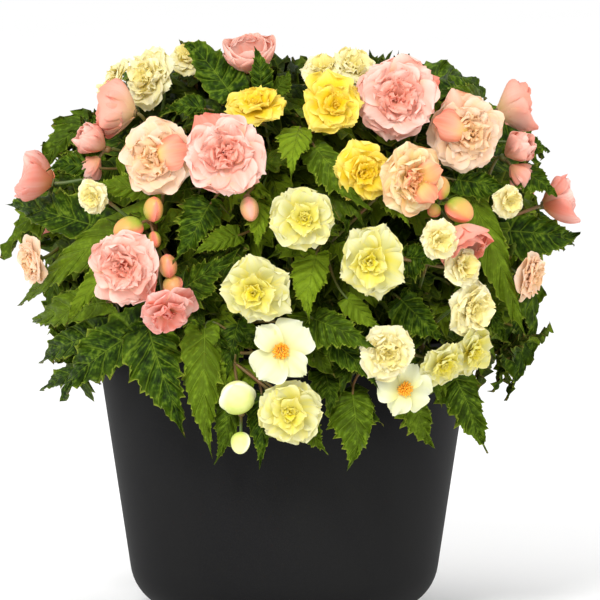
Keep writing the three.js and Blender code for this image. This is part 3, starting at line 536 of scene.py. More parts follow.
# Points of a solid leaf's outline, along and across, by which its place is recognised.
LARGE_TEETH = np.array([(1, 0), (0.17, 1.06), (0.41, 0.94), (0.64, 0.58), (0.17, -1.06), (0.41, -0.94)])
SMALL_TEETH = np.array([(1, 0), (0.2, 1.04), (0.52, 0.74), (0.2, -1.04), (0.52, -0.74)])


def leaf_frames(base, tip, hint, width):
    """Leaf places as a dict of arrays: base, forward, side, up, length and width."""
    forward = unit(tip - base)
    side = unit(np.cross(forward, hint))
    length = np.linalg.norm(tip - base, axis=-1)
    up = unit(np.cross(side, forward))
    return {"base": base, "forward": forward, "side": side, "up": up, "length": length, "width": width}


def some(leaf, which):
    """Some of the leaves."""
    return {key: value[which] for key, value in leaf.items()}


def together(*groups):
    """Groups of leaves as one."""
    return {key: np.concatenate([group[key] for group in groups]) for key in groups[0]}


def rotated(v, axis, angle):
    """Vectors turned about unit axes: the part along the axis stays, and the rest turns in its plane."""
    along = np.sum(v * axis, -1, keepdims=True) * axis
    angle = np.asarray(angle)[..., None]
    return along + (v - along) * np.cos(angle) + np.cross(axis, v) * np.sin(angle)


def leaf_points(leaf, along, across):
    """Points of folded leaves, arched like a parabola: along in lengths, across in halves of the width, of
    which one side is a little broader."""
    length = leaf["length"][..., None]
    half = leaf["width"][..., None] / 2 * np.abs(across) * (1 + LEAF_LOPSIDED * np.sign(across))
    rise = LEAF_ARCH * length * 4 * along * (1 - along) - half * np.sin(LEAF_FOLD)
    parts = {"forward": along * length, "side": np.sign(across) * half * np.cos(LEAF_FOLD), "up": rise}
    moves = [leaf[key][..., None, :] * part[..., None] for key, part in parts.items()]
    return leaf["base"][..., None, :] + sum(moves)


table = np.array(FRONT_LEAVES, float)
tips = [leaf[2:4] for leaf in FRONT_LEAVES]
base = seen(table[:, :2], BASE_SHARE)
stands_out = np.array([STANDS_OUT.get(tip, 0) for tip in tips])[:, None] * MM
tip = seen(table[:, 2:4], TIP_SHARE) + TO_VIEWER * stands_out
hint = unit(mound_normal((base + tip) / 2) * OUTWARDS + TO_VIEWER)
groups = [leaf_frames(base, tip, hint, table[:, 4] * PIXEL)]

out = towards(TOP_FIRST + 360 / TOP_LEAVES * np.arange(TOP_LEAVES))
base, tip = [out * ring * MM + [0, 0, z * MM] for ring, z in TOP_ENDS]
groups.append(leaf_frames(base, tip, np.array([0, 0, 1.0]), np.full(TOP_LEAVES, TOP_WIDE)))

for r, (first, last, count, base_height, tip_height) in enumerate(BACK_ROWS):
    k = np.arange(count)
    at = first + (last - first) * (k + 0.5) / count
    base = around(at, base_height * MM, BASE_SHARE)
    to = around(at + BACK_SWAY * (draw(r, k) - 0.5), tip_height * MM, BACK_TIP_SHARE)
    hint = unit(mound_normal((base + to) / 2) + [0, 0, 0.3])
    reach = (BACK_LONG + BACK_LONGER * draw(r + 7, k)) * MM
    width = (BACK_WIDE + BACK_WIDER * draw(k, r)) * MM
    groups.append(leaf_frames(base, base + unit(to - base) * reach[:, None], hint, width))
leaves = together(*groups)

# A solid leaf was turned on its stalk until it had room. The turn is the one whose outline points are
# corners of a stem's solid, and that stem is the leaf's own. Where DEPTHS has a leaf, it is drawn whole.
PITCHES = np.radians([0, 8, -8, 16, -16, 26, -26, 36])
YAWS = np.radians([0, 10, -10, 20, -20])
SIZES = np.array([1, 0.88, 0.76, 0.64])
HALF_THICKNESS = 0.4 * MM
SAME_POINT = 0.08 * MM
NEAR = 5 * MM

solids = [mesh_arrays("leafy_stem_" + name)[0] for name, _, _ in STEMS]
owner = np.repeat(np.arange(len(STEMS)), [len(points) for points in solids])
stem_points = np.concatenate(solids)
pitch, yaw, size = [g.ravel() for g in np.meshgrid(PITCHES, YAWS, SIZES, indexing="ij")]
leaf_stem = np.zeros(len(leaves["length"]), int)
for k in range(len(leaf_stem)):
    one = some(leaves, k)
    forward = rotated(rotated(one["forward"], one["side"], -pitch), one["up"], yaw)
    ends = one["base"] + forward * (one["length"] * size)[:, None]
    turned_leaf = leaf_frames(np.broadcast_to(one["base"], ends.shape), ends, one["up"], one["width"] * size)
    near = np.linalg.norm(stem_points - one["base"], axis=1) < one["length"] + NEAR
    is_large = turned_leaf["length"] >= LEAF_SMALL
    score = np.zeros(len(size))
    voter = np.zeros(len(size), int)
    for teeth, which in ((LARGE_TEETH, is_large), (SMALL_TEETH, ~is_large)):
        if which.any():
            chosen = some(turned_leaf, which)
            spots = leaf_points(chosen, *teeth.T) + chosen["up"][:, None] * HALF_THICKNESS
            gaps = np.linalg.norm(spots[:, :, None] - stem_points[near], axis=-1)
            score[which] = np.mean(gaps.min(-1) < SAME_POINT, axis=1)
            voter[which] = owner[near][gaps.min(1).argmin(-1)]
    best = score.argmax()
    leaf_stem[k] = voter[best]
    if k < len(tips) and tips[k] in DEPTHS:
        ends = on_line(table[k, :4].reshape(2, 2), np.array(DEPTHS[tips[k]]) * MM)
        hint = unit(mound_normal(ends.mean(0)) * WHOLE_OUTWARDS + TO_VIEWER)
        found = leaf_frames(*ends, hint, table[k, 4] * PIXEL)
    else:
        found = some(turned_leaf, best)
    for key in leaves:
        leaves[key][k] = found[key]

# Seen from the front, the leaves at the sides hang edge-on. They are turned on their ribs towards the
# front, and the low ones hang closer to the planter.
SIDE_FROM = 130 * MM
SIDE_LEVEL, SIDE_DEEP = 35 * MM, 80 * MM  # depth of their middle, and half the range
EDGE_ON = 0.45  # cosine between a leaf's upper side and the way to the viewer
SIDE_TURN = np.radians(42)
SIDE_LOW = 280 * MM
SIDE_HANG = np.radians(18)
middle = leaves["base"] + leaves["forward"] * leaves["length"][:, None] / 2
at_side = (np.abs(middle[:, 0]) > SIDE_FROM) & (leaves["up"] @ TO_VIEWER < EDGE_ON)
at_side &= np.abs(middle[:, 1] - SIDE_LEVEL) < SIDE_DEEP
turn = SIDE_TURN * np.sign(leaves["side"] @ TO_VIEWER) * at_side
for key in ("up", "side"):
    leaves[key] = rotated(leaves[key], leaves["forward"], turn)
turn = SIDE_HANG * np.sign(middle[:, 0]) * (at_side & (middle[:, 2] < SIDE_LOW))
for key in ("forward", "side", "up"):
    leaves[key] = rotated(leaves[key], np.broadcast_to([0.0, 1.0, 0.0], middle.shape), turn)

# ---- Flowers and buds: where they are held -----------------------------------------------------------
# Each flower sits on the end of its own stalk by a small flat back. The backs, the flowers' sizes and how
# far they are open are read from their solids. Buds hang in sprays from one joint.
SEAT_RADIUS = 3 * MM
SEAT_AREA = 27 * MM * MM  # of a flat back: twelve sides
SEAT_TRIANGLES = 8  # at least
SEAT_GAP = 0.3 * MM
HEART_GUESS = 8 * MM  # above the seat
OUTER_FROM = 0.92  # petals are outer ones from this share of the farthest
HEART_SHARE = 0.3  # height of a flower's heart above its seat, in radii


def flowers_of(node):
    """A node's flowers, as dicts of seat, axis, radius and open angle. A flat back is a group of triangles
    in one plane that has its area; the outer petals are the solid's points furthest from the heart."""
    points, triangles = mesh_arrays(node)
    a, b, c = points[triangles.T]
    cross = np.cross(b - a, c - a)
    area = np.linalg.norm(cross, axis=1) / 2
    normal = unit(cross)
    offset = np.sum(normal * a, 1)
    same = (normal @ normal.T > 1 - 1e-5) & (np.abs(offset[:, None] - offset) < 0.05 * MM)
    is_back = (same.sum(1) >= SEAT_TRIANGLES) & (np.abs(same @ area / SEAT_AREA - 1) < 0.05)
    found = []
    while is_back.any():
        members = same[is_back.argmax()] & is_back
        seat = (((a + b + c) / 3)[members] * area[members, None]).sum(0) / area[members].sum()
        found.append({"node": node, "seat": seat, "axis": -unit(normal[members].mean(0))})
        is_back &= ~members
    far = np.array([np.linalg.norm(points - f["seat"] - f["axis"] * HEART_GUESS, axis=1) for f in found])
    radii = np.zeros(len(found))
    for _ in range(6):
        nearest = (far - radii[:, None]).argmin(0)
        for number, flower in enumerate(found):
            away = points[nearest == number] - flower["seat"]
            height = away @ flower["axis"]
            out = np.linalg.norm(away - height[:, None] * flower["axis"], axis=1)
            radius = np.linalg.norm(away, axis=1).max() / 1.1
            for _ in range(4):
                above = height - HEART_SHARE * radius
                reach = np.hypot(out, above)
                outer = reach > OUTER_FROM * reach.max()
                radius = reach[outer].mean() / 0.99
            radii[number] = radius
            above = height - HEART_SHARE * radius
            flower.update(radius=radius, open=np.arctan2(out[outer], above[outer]).mean())
    return found


flowers = [f for node in sorted(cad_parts) if node.startswith("bloom_") for f in flowers_of(node)]

# A spray's pixel and its direction, then its buds: right, up and size in millimetres.
BUD_SPRAYS = {
    "buds_left": ((150, 222), (-16, 0), [(-14, -6, 11), (6, 10, 9.5), (6, -14, 6)]),
    "buds_right": ((442, 199), (20, 0), [(9, -9, 11), (-6, 9, 9), (-10, -9, 5.5)]),
    "buds_far_left": ((108, 150), (-58, 0), [(-3, 8, 13), (-8, -14, 11)]),
    "buds_far_right": ((503, 157), (58, 0), [(3, 8, 13), (8, -14, 11)]),
    "buds_pink_front": ((248, 199), (0, -20), [(2, -6, 9)]),
    "buds_lemon_low": ((242, 412), (-4, 0), [(-2, 14, 14), (0, -22, 8)]),
    "buds_coral_left": ((172, 276), (10, 0), [(-2, 8, 9), (2, -8, 8)]),
}
BUD_SHAPE = np.array([1, 0.62, 1.12])  # broad, flat and long half-axes, in shares of a bud's size
SPRAY_SHARE = 0.93  # how far out of the mound its joint is
# A solid spray was moved along its direction until it had room.
SLIDES = np.array([0, 4, -4, 8, -8, 12, -12, 16, -16, 20, 24, 28, 32, 36]) * MM


def axes_towards(way, roll):
    """Three axes in rows, broad, flat and long: the world's turned the short way from +Z to `way`, after a
    roll about +Z."""
    broad = [np.cos(roll), np.sin(roll), 0]
    flat = [-np.sin(roll), np.cos(roll), 0]
    return rotated(np.array([broad, flat, [0, 0, 1]]), unit(np.cross([0, 0, 1], way)), np.arccos(way[2]))


sprays = []
for number, (node, (pixel, face, hung)) in enumerate(BUD_SPRAYS.items()):
    axis = towards(*face)
    across = unit(np.cross([0, 0, 1], axis))
    joint = seen([pixel], SPRAY_SHARE)[0]
    ways = [(across * right + np.cross(axis, across) * up + axis * size) * MM for right, up, size in hung]
    axes = [axes_towards(unit(way), draw(number, k) * np.pi) for k, way in enumerate(ways)]
    sizes = [size * MM for _, _, size in hung]
    sides = [s * BUD_SHAPE[1] * size * a[1] for a, size in zip(axes, sizes) for s in (1, -1)]
    poles = joint + np.repeat(ways, 2, axis=0) + sides
    moved = poles + axis * SLIDES[:, None, None]
    gaps = np.linalg.norm(moved[:, :, None] - mesh_arrays(node)[0], axis=-1).min((1, 2))
    joint = joint + axis * SLIDES[gaps.argmin()]
    sprays.append({"node": node, "joint": joint, "axis": axis, "buds": list(zip(joint + ways, axes, sizes))})

# ---- Leafy stems: blades, stalks and shoots ----------------------------------------------------------
# A blade is thin, glossy and quilted between sunken veins, with a doubly toothed edge and a drawn-out tip.
# It stands on a fleshy, slightly red stalk. Each plant is one piece.
BLADE_THICKNESS = 0.55 * MM
LOBES = 6  # large teeth on each side, where the side veins end
TOOTH = np.array([0, 0.4, 0.22, 0.75, 0.5, 1.0, 0.45])  # one large tooth with two small ones behind it
PLAIN_TOOTH = np.array([0, 0.65, 1.0])  # of the small leaves inside
TOOTH_DEPTH = 0.33  # in shares of half the width
TEETH_FROM, TEETH_TO = 0.03, 0.88  # in shares of the edge, from the stalk to the tip
TIP_ROWS = 5
VEIN_IN_LOBE = 5 / 7
EDGE_AT = [0, 0.04, 0.1, 0.18, 0.3, 0.45, 0.6, 0.75, 0.88, 1]
EDGE_OUT = [0.03, 0.38, 0.74, 1.0, 1.09, 0.98, 0.7, 0.38, 0.14, 0.005]


def sheets(points, lift, across, along, tone, material):
    """A part of thin closed sheets from grids of points, count by rows by columns: the front is moved out
    by `lift` and the back in by it. Read forwards and then backwards, they make a loop for each row; the
    first and last loops are capped. A point's place is across, along and 0 in front or 1 behind."""
    count, rows, columns = points.shape[:3]
    front = np.broadcast_to(stacked(across, along, 0.0), points.shape)
    loops = np.concatenate([points + lift, (points - lift)[:, :, ::-1]], 2)
    place = np.concatenate([front, front[:, :, ::-1] + [0, 0, 1]], 2)
    j = np.arange(columns - 1)
    other = 2 * columns - 1 - j
    first_cap = stacked(j + 1, j, other, other - 1)
    last_cap = stacked(j, j + 1, other - 1, other) + (rows - 1) * 2 * columns
    one = np.concatenate([grid_quads(rows, 2 * columns, around=True), first_cap, last_cap])
    faces = (one + np.arange(count)[:, None, None] * rows * 2 * columns).reshape(-1, 4)
    tones = np.repeat(tone, rows * 2 * columns, axis=0)
    return loops.reshape(-1, 3), [faces], material, place.reshape(-1, 3), tones


def blades(leaf, tone, seed, crumple=1.0, columns=17, tooth=TOOTH):
    """Blades of leaves. A row starts on the rib at s to the power 1.9 of its length and ends on the edge,
    whose course goes back by a sine behind the stalk and then on to the tip. The edge is cut in by the
    teeth. The blade rises and falls by a cosine between its side veins, and sines of the places along and
    across wave it, more towards its edge. Its sides rise, and its tip hangs and turns aside, by squares."""
    lobed = TEETH_FROM + (TEETH_TO - TEETH_FROM) * np.arange(LOBES * len(tooth)) / (LOBES * len(tooth))
    s = np.concatenate([[0], lobed, np.linspace(TEETH_TO, 1, TIP_ROWS)])[:, None]
    teeth = np.concatenate([[0], np.tile(tooth, LOBES), np.linspace(0.2, 0, TIP_ROWS)])[:, None]
    q = np.linspace(-1, 1, columns)
    count = len(leaf["length"])
    draws = np.random.default_rng(seed)
    random = draws.uniform(0, 1, (8, count, 1, 1))
    teeth = teeth * draws.uniform(0.4, 1.2, (count, len(s), 2))[:, :, (q > 0).astype(int)]
    side = np.abs(q)
    edge = s - 0.2 * np.sin(np.pi * np.minimum(s / 0.3, 1))
    along = s**1.9 + (edge - s**1.9) * side + 0.035 * teeth * side**6
    cut = TOOTH_DEPTH * (0.8 + 0.4 * random[5])
    across = np.interp(s, EDGE_AT, EDGE_OUT) * q * (1 - cut * (1 - teeth) * side**5)
    points = leaf_points(leaf, along.reshape(count, -1), across.reshape(count, -1)).reshape(*along.shape, 3)
    in_lobe = (s - TEETH_FROM) / (TEETH_TO - TEETH_FROM) * LOBES - VEIN_IN_LOBE
    quilt = -0.034 * np.cos(2 * np.pi * in_lobe) * 4 * side * (1 - 0.8 * side) * (s < TEETH_TO)
    slow = 2.2 * s + random[1] + 0.25 * np.sign(q)
    wave = (0.05 + 0.06 * random[0]) * np.sin(2 * np.pi * slow) * side**2.5
    wave = wave + 0.035 * np.sin(2 * np.pi * (5.3 * s + random[6] + 0.4 * q)) * side**2
    wave = wave + 0.014 * np.sin(2 * np.pi * (9.1 * s + 2.3 * q + random[7])) * np.minimum(1, 3 * side)
    cupped = (random[2] - 0.4) * 0.16 * side**2
    tail = -0.13 * random[3] * np.clip((along - 0.72) / 0.28, 0, 1) ** 2
    bent = 0.5 * (random[4] - 0.5) * np.clip((along - 0.6) / 0.4, 0, 1) ** 2
    up, beside, width = leaf["up"][:, None, None], leaf["side"][:, None, None], leaf["width"][:, None, None]
    height = (quilt + crumple * (wave + cupped + tail)) * width
    points = points + up * height[..., None] + beside * (bent * width)[..., None]
    return sheets(points, up * BLADE_THICKNESS / 2, q, s, tone, leaf_green)


def tube_faces(rows, sides, count=1):
    """Faces of closed tubes, whose points are rings of `sides`: the walls, and a polygon over each end."""
    first = np.arange(count)[:, None, None] * rows * sides
    walls = grid_quads(rows, sides, around=True) + first
    j = np.arange(sides)
    ends = np.stack([j[::-1], j + (rows - 1) * sides]) + first
    return [walls.reshape(-1, 4), ends.reshape(-1, sides)]


def stalks(start, bend, end, radius, rows=8, sides=7, taper=0.0):
    """Round stalks along parabolas from start to end that head for `bend` at both ends. A stalk lies in a
    plane, so its rings are spanned by that plane's normal and the normal's cross product with its course."""
    t = np.linspace(0, 1, rows)[:, None]
    start, bend, end = (np.reshape(p, (-1, 1, 3)) for p in (start, bend, end))
    path = start * (1 - t) ** 2 + bend * 2 * t * (1 - t) + end * t**2
    course = unit((bend - start) * (1 - t) + (end - bend) * t)
    square = unit(np.cross(bend - start, end - bend) + 1e-9 * np.array([0.31, 0.52, 0.79]))
    square = unit(square - np.sum(square * course, -1, keepdims=True) * course)
    a = np.linspace(0, 2 * np.pi, sides, endpoint=False)[:, None]
    ring = np.cos(a) * square[:, :, None] + np.sin(a) * np.cross(course, square)[:, :, None]
    points = path[:, :, None] + ring * radius * (1 - taper * t[..., None])
    return points.reshape(-1, 3), tube_faces(rows, sides, len(path)), stem_skin


leaf_green, shader = new_material("leaf_blade", Roughness=0.5, Specular_IOR_Level=0.06)
across, along, back = marks_on(shader, "place")
# The tone's middle number, depth, is painted shade: how much darker a leaf is coloured for the shade deep in
# the mound.
lot, depth, yellow = marks_on(shader, "tone")
place = place_on(shader)
side = abs(across)
lobe = maths("FRACT", along * (LOBES / (TEETH_TO - TEETH_FROM)) + (10 - VEIN_IN_LOBE + 0.5 - 0.21))
side_vein = smooth_step(abs(lobe - 0.5), 0.09, 0.02)
vein = maths("MAXIMUM", side_vein, smooth_step(side, 0.05, 0.012))
patches = noise(place, 16.0, 2.0)
mottle = noise(place, 60.0, 4.0)
puckers = noise(place, 230.0, 2.0)
ribs = noise(worked_out("CombineXYZ", {0: across * 2.6, 1: along * 46.0, 2: lot * 40.0}), 1.0)
# Painted light and shade of the quilted blade, mixed with random mottle: lighter on the bulges and along the
# ribs, darker in the creases between them.
mottle_and_quilt_shading = ribs * 0.45 + (puckers * 0.5 + mottle * 0.3)
green = mixed(smooth_step(mottle_and_quilt_shading, 0.46, 0.76), colour(18, 32, 3), colour(50, 76, 8))
green = mixed(smooth_step(patches * 0.6 + side, 0.75, 1.4) * 0.55, green, colour(78, 104, 12))
# Painted highlight: a pale lime glint on the highest bulges of the quilting.
green = mixed(smooth_step(mottle_and_quilt_shading, 0.62, 0.84) * 0.5, green, colour(130, 154, 44))
green = mixed(yellow * 0.7, green, colour(140, 166, 34))
green = mixed(vein * 0.36, green, colour(120, 146, 40))
green = mixed(smooth_step(side, 0.93, 1.0) * 0.55, green, colour(152, 162, 56))
# The back's colour carries the same painted light and shade of the quilting.
under = mixed(smooth_step(mottle_and_quilt_shading, 0.5, 0.76), colour(56, 74, 18), colour(98, 114, 40))
green = mixed(back, green, mixed(vein, under, colour(140, 122, 62)))
# Painted shade: leaves deep in the mound are coloured towards near black.
green = mixed(depth * 0.82, green, colour(8, 16, 1))
finish_surface(shader, green, ribs * 0.9 + (puckers * 0.7 + 0.2) - vein, 0.8, 1.1 * MM)

stem_skin, shader = new_material("stem_skin", Roughness=0.45, Specular_IOR_Level=0.4)
place = place_on(shader)
fuzz = noise(place, 900.0, 2.0)
skin = mixed(smooth_step(noise(place, 28.0), 0.35, 0.65), colour(74, 94, 32), colour(118, 82, 44))
skin = mixed(smooth_step(fuzz, 0.6, 0.8), skin, colour(128, 130, 84))
finish_surface(shader, skin, fuzz, 0.4, 0.3 * MM)

# Smaller, crumpled leaves close the mound, at golden-angle steps up its height. Those deep in it are painted
# darker, as painted shade for the shade inside the mound, and none grows in front of a flower, a spray of
# buds or a leaf of the front.
INNER_COUNT = 640
INNER_LOWEST, INNER_HIGHEST = 224, 424  # millimetres
INNER_SHARE, INNER_SPREAD = 0.44, 0.44  # how far out of the mound the innermost start, and their spread
INNER_FRONT = 0.3  # less of that spread in the half that faces the viewer, where the large leaves show
INNER_REACH = 0.95  # of their tips, as a share of the mound
INNER_TOP = 430 * MM
INNER_FADE = (372, 50)  # from this height, and over this height, they start ever nearer to the axis
INNER_LONG, INNER_LONGER = 50, 34  # millimetres
INNER_WIDE, INNER_WIDER = 34, 20
LOW_RIGHT = (300 * MM, 60 * MM, 150 * MM)  # below this height, over this, and out to this they draw in
SHORTEST = 24 * MM
INNER_SEED = 5
GOLDEN_ANGLE = 137.508
k = np.arange(INNER_COUNT)
random = np.random.default_rng(INNER_SEED).uniform(0, 1, (8, len(k)))
height = INNER_LOWEST + (INNER_HIGHEST - INNER_LOWEST) * (k + 0.5) / len(k)
share = INNER_SHARE * (1 - 0.9 * np.clip((height - INNER_FADE[0]) / INNER_FADE[1], 0, 1))
faces_front = np.clip(0.5 + 0.8 * np.cos(np.radians(k * GOLDEN_ANGLE)), 0, 1)
farthest = INNER_SHARE + INNER_SPREAD * (1 - INNER_FRONT * faces_front)
share = share + (farthest - share) * random[0]
base = around(k * GOLDEN_ANGLE, height * MM, share)
outward = mound_normal(base)
sideways = unit(np.cross(outward, [0, 0, 1]))
heading = outward * (0.25 + 0.3 * random[1])[:, None] + sideways * (2.2 * random[2] - 1.1)[:, None]
heading = heading + np.array([0, 0, 1]) * (0.9 * random[3] - 0.7)[:, None]
tip = base + unit(heading) * (INNER_LONG + INNER_LONGER * random[4])[:, None] * MM
tip[:, 2] = np.minimum(tip[:, 2], INNER_TOP)
level = (tip - [MOUND_X, 0, 0]) * [1, 1, 0]
low_right = np.clip((LOW_RIGHT[0] - tip[:, 2]) / LOW_RIGHT[1], 0, 1)
low_right = low_right * np.clip(tip[:, 0] / LOW_RIGHT[2], 0, 1)
farthest = (INNER_REACH - 0.2 * low_right) * mound_radius(tip[:, 2])
tip = tip - level * (1 - np.minimum(1, farthest / np.linalg.norm(level, axis=1)))[:, None]
hint = unit(outward + np.array([0, 0, 0.5]) + sideways * (0.8 * random[5] - 0.4)[:, None])
inner = leaf_frames(base, tip, hint, (INNER_WIDE + INNER_WIDER * random[6]) * MM)

# A tuft of young leaves stands round the end of each shoot.
YOUNG_COUNT = 5
YOUNG_LONG, YOUNG_WIDE = 42 * MM, 27 * MM
YOUNG_SPLAY, YOUNG_WIDER_SPLAY = 48, 24  # degrees
YOUNG_SHARE = 0.74
shoot_ends = shoots[:, :, 2].reshape(-1, 3)
course = np.repeat(unit(shoot_ends - shoots[:, :, 1].reshape(-1, 3)), YOUNG_COUNT, axis=0)
base = np.repeat(shoot_ends, YOUNG_COUNT, axis=0)
turn = np.tile(np.arange(YOUNG_COUNT) * 2 * np.pi / YOUNG_COUNT, len(shoot_ends))
spoke = rotated(unit(np.cross(course, [0.2, 0.1, 1.0])), course, turn)
splay = np.radians(YOUNG_SPLAY + YOUNG_WIDER_SPLAY * draw(3, np.arange(len(spoke))))[:, None]
tip = base + (course * np.cos(splay) + spoke * np.sin(splay)) * YOUNG_LONG
inner = together(inner, leaf_frames(base, tip, course, np.full(len(spoke), YOUNG_WIDE)))
share = np.append(share, np.full(len(spoke), YOUNG_SHARE))

# A leaf covers a flower, a spray or a front leaf when a point of it lies in the cylinder before it, either
# along its own axis or along the line of sight.
CLEAR_BESIDE, CLEAR_BEHIND, CLEAR_BEFORE = 3 * MM, 3 * MM, 80 * MM
HIDDEN_FROM = 90 * MM  # depth from which a flower is not seen
SPRAY_RADIUS = 14 * MM
# Painted shade: leaves that start nearer the axis are coloured darker, for the shade deep in the mound.
SHADE_FROM, SHADE_OVER, SHADE = 0.8, 0.3, 0.75  # darker from this share inwards, over this, by this much
held = [(f["seat"], f["axis"], f["radius"]) for f in flowers]
held += [(s["joint"] - s["axis"] * SEAT_RADIUS, s["axis"], SPRAY_RADIUS) for s in sprays]
seat, axis, held_radius = (np.array(part) for part in zip(*held))
front = some(leaves, slice(0, len(FRONT_LEAVES)))
steps = front["forward"] * front["length"][:, None]
kept_seat = np.concatenate([seat, front["base"] + 0.35 * steps, front["base"] + 0.65 * steps])
kept_axis = np.concatenate([axis, front["up"], front["up"]])
kept_radius = np.concatenate([held_radius, 0.46 * front["width"], 0.3 * front["width"]]) + CLEAR_BESIDE
reach = inner["forward"] * inner["length"][:, None]
spots = inner["base"][:, None] + reach[:, None] * np.array([0, 0.35, 0.7, 1])[:, None]
away = spots[:, :, None] - kept_seat
before = np.sum(away * kept_axis, -1)
beside = np.linalg.norm(away - before[..., None] * kept_axis, axis=-1)
covers = (before > -CLEAR_BEHIND) & (before < CLEAR_BEFORE) & (beside < kept_radius)
before = -away @ line_of_sight
beside = np.linalg.norm(away + before[..., None] * line_of_sight, axis=-1)
covers |= (before > 0) & (beside < kept_radius) & (kept_seat[:, 1] < HIDDEN_FROM)
is_free = ~covers.any((1, 2)) & (inner["length"] > SHORTEST)
# The painted shade of each kept inner leaf, from how deep in the mound it starts.
inner_painted_shade = np.clip((SHADE_FROM - share[is_free]) / SHADE_OVER, 0, 1) * SHADE

# Half-hidden leaves of the front, by the same five numbers as the others.
HALF_HIDDEN = np.array([
    (240, 318, 227, 380, 36), (324, 368, 334, 414, 36), (390, 366, 400, 412, 30), (120, 168, 74, 182, 32),
    (352, 188, 340, 238, 36), (446, 214, 430, 262, 34), (432, 318, 412, 350, 30), (478, 226, 508, 286, 40),
    (486, 262, 498, 318, 36), (256, 360, 244, 402, 28), (350, 350, 340, 392, 32), (352, 386, 378, 426, 26),
    (418, 366, 444, 402, 28), (520, 226, 580, 240, 42),
])
HIDDEN_BASE_SHARE, HIDDEN_TIP_SHARE, HIDDEN_OUTWARDS, HIDDEN_SHADE = 0.76, 0.9, 0.6, 0.12
tip = seen(HALF_HIDDEN[:, 2:4], HIDDEN_TIP_SHARE)
hint = unit(mound_normal(tip) * HIDDEN_OUTWARDS + TO_VIEWER)
base = seen(HALF_HIDDEN[:, :2], HIDDEN_BASE_SHARE)
inner = together(some(inner, is_free), leaf_frames(base, tip, hint, HALF_HIDDEN[:, 4] * PIXEL))
# The half-hidden leaves get a little painted shade too.
inner_painted_shade = np.append(inner_painted_shade, np.full(len(tip), HIDDEN_SHADE))
inner_stem = start_stem[np.linalg.norm(starts - inner["base"][:, None], axis=-1).argmin(1)]

LEAF_STALK = 1.0 * MM
BEND_BACK, BEND_DOWN = 0.45, 0.1  # where a leaf's stalk heads, behind and below its blade, in stalk lengths
IN_BLADE = 1.5 * MM
FLOWER_STALK = 1.4 * MM
FLOWER_NECK = 0.45  # of its straight end behind a flower, in radii
TRUNK = 5 * MM
SHOOT = 3.8 * MM
CROWN_RINGS = 9 * MM * np.array([0, 0.5, 0.9, 1, 0.98, 0.85, 0.55, 0])
CROWN_HEIGHTS = np.array([-30, -30, -27, -8, 2, 6, 9, 9]) * MM  # above the compost
TONE_SEED, INNER_TONE_SEED, BLADE_SEED, INNER_BLADE_SEED = 40, 60, 80, 100

back = seat - axis * SEAT_GAP
neck = seat - axis * (SEAT_GAP + FLOWER_NECK * held_radius)[:, None]
held_stem = np.array([owner[np.linalg.norm(stem_points - point, axis=1).argmin()] for point in back])
lime = np.zeros(len(leaf_stem))
lime[:len(tips)] = [LIME.get(tip, 0) for tip in tips]


def nearest_starts(points, stem_number):
    """For each point the nearest place on a stem's shoots."""
    own = starts[start_stem == stem_number]
    return own[np.linalg.norm(own - points[:, None], axis=-1).argmin(1)]


def stalked(leaf, blade_part, stem_number):
    """The parts of some leaves of a stem: their blades, and stalks that head into them from behind."""
    start = nearest_starts(leaf["base"], stem_number)
    far = np.linalg.norm(leaf["base"] - start, axis=1)[:, None]
    bend = leaf["base"] - leaf["forward"] * BEND_BACK * far - leaf["up"] * BEND_DOWN * far
    return [blade_part, stalks(start, bend, leaf["base"] + leaf["forward"] * IN_BLADE, LEAF_STALK)]


for number, (name, at, ring) in enumerate(STEMS):
    mine = leaf_stem == number
    large = some(leaves, mine)
    random = np.random.default_rng(TONE_SEED + number).uniform(0, 1, (mine.sum(), 3))
    tone = stacked(random[:, 0], 0.0, np.maximum(lime[mine], 0.6 * random[:, 1] ** 4))
    parts = stalked(large, blades(large, tone, BLADE_SEED + number), number)
    mine = inner_stem == number
    small = some(inner, mine)
    random = np.random.default_rng(INNER_TONE_SEED + number).uniform(0, 1, (mine.sum(), 3))
    # Small leaves: painted shade from their depth in the mound, plus a random darker tone.
    tone = stacked(random[:, 0], inner_painted_shade[mine] + 0.2 * random[:, 1], random[:, 2] ** 2.5)
    parts += stalked(small, blades(small, tone, INNER_BLADE_SEED + number, 1.7, 7, PLAIN_TOOTH), number)
    mine = held_stem == number
    parts.append(stalks(nearest_starts(neck[mine], number), neck[mine], back[mine], FLOWER_STALK, rows=12))
    begin, middle, end = shoots[number].transpose(1, 0, 2)
    parts.append(stalks(begin, middle * 2 - (begin + end) / 2, end, SHOOT, rows=14, sides=12, taper=0.6))
    foot = towards(at) * ring * MM + [0, 0, COMPOST_TOP]
    parts.append(stalks(foot, (foot + begin[0]) / 2, begin[0], TRUNK, sides=16))
    points, faces = turned(stacked(CROWN_RINGS, CROWN_HEIGHTS), 20)
    parts.append((points + foot, faces, stem_skin))
    add_piece("begonia_stem_" + name, parts, "leaf", "leafy_stem_" + name)

# ---- Double flowers ----------------------------------------------------------------------------------
# Broad guard petals hold rings of smaller, waved ones that close towards a heart a little off the middle,
# crested in yellow, lemon and cream. Petals are thin, silky and lit through. The flowers of a node are one
# piece on their solids' seats.
PETAL_THICKNESS = 0.45 * MM
PETAL_ROWS = 9
PETAL_COLUMNS = 13
SMALL_FLOWER = 20 * MM
HEART_SHIFT = 0.07  # how far the heart may be off the middle, in radii
SMALL_FULLNESS = 1.25  # small flowers' petals stand out this much further than their solids
CUP_OPEN = np.radians(85)  # flowers less open than this are cups with inward guard petals
CUP_REACH, CUP_LEAN, CUP_CURL = 1.5, 37, -76
HEART_LENGTH = 0.44  # of the innermost petals, in radii

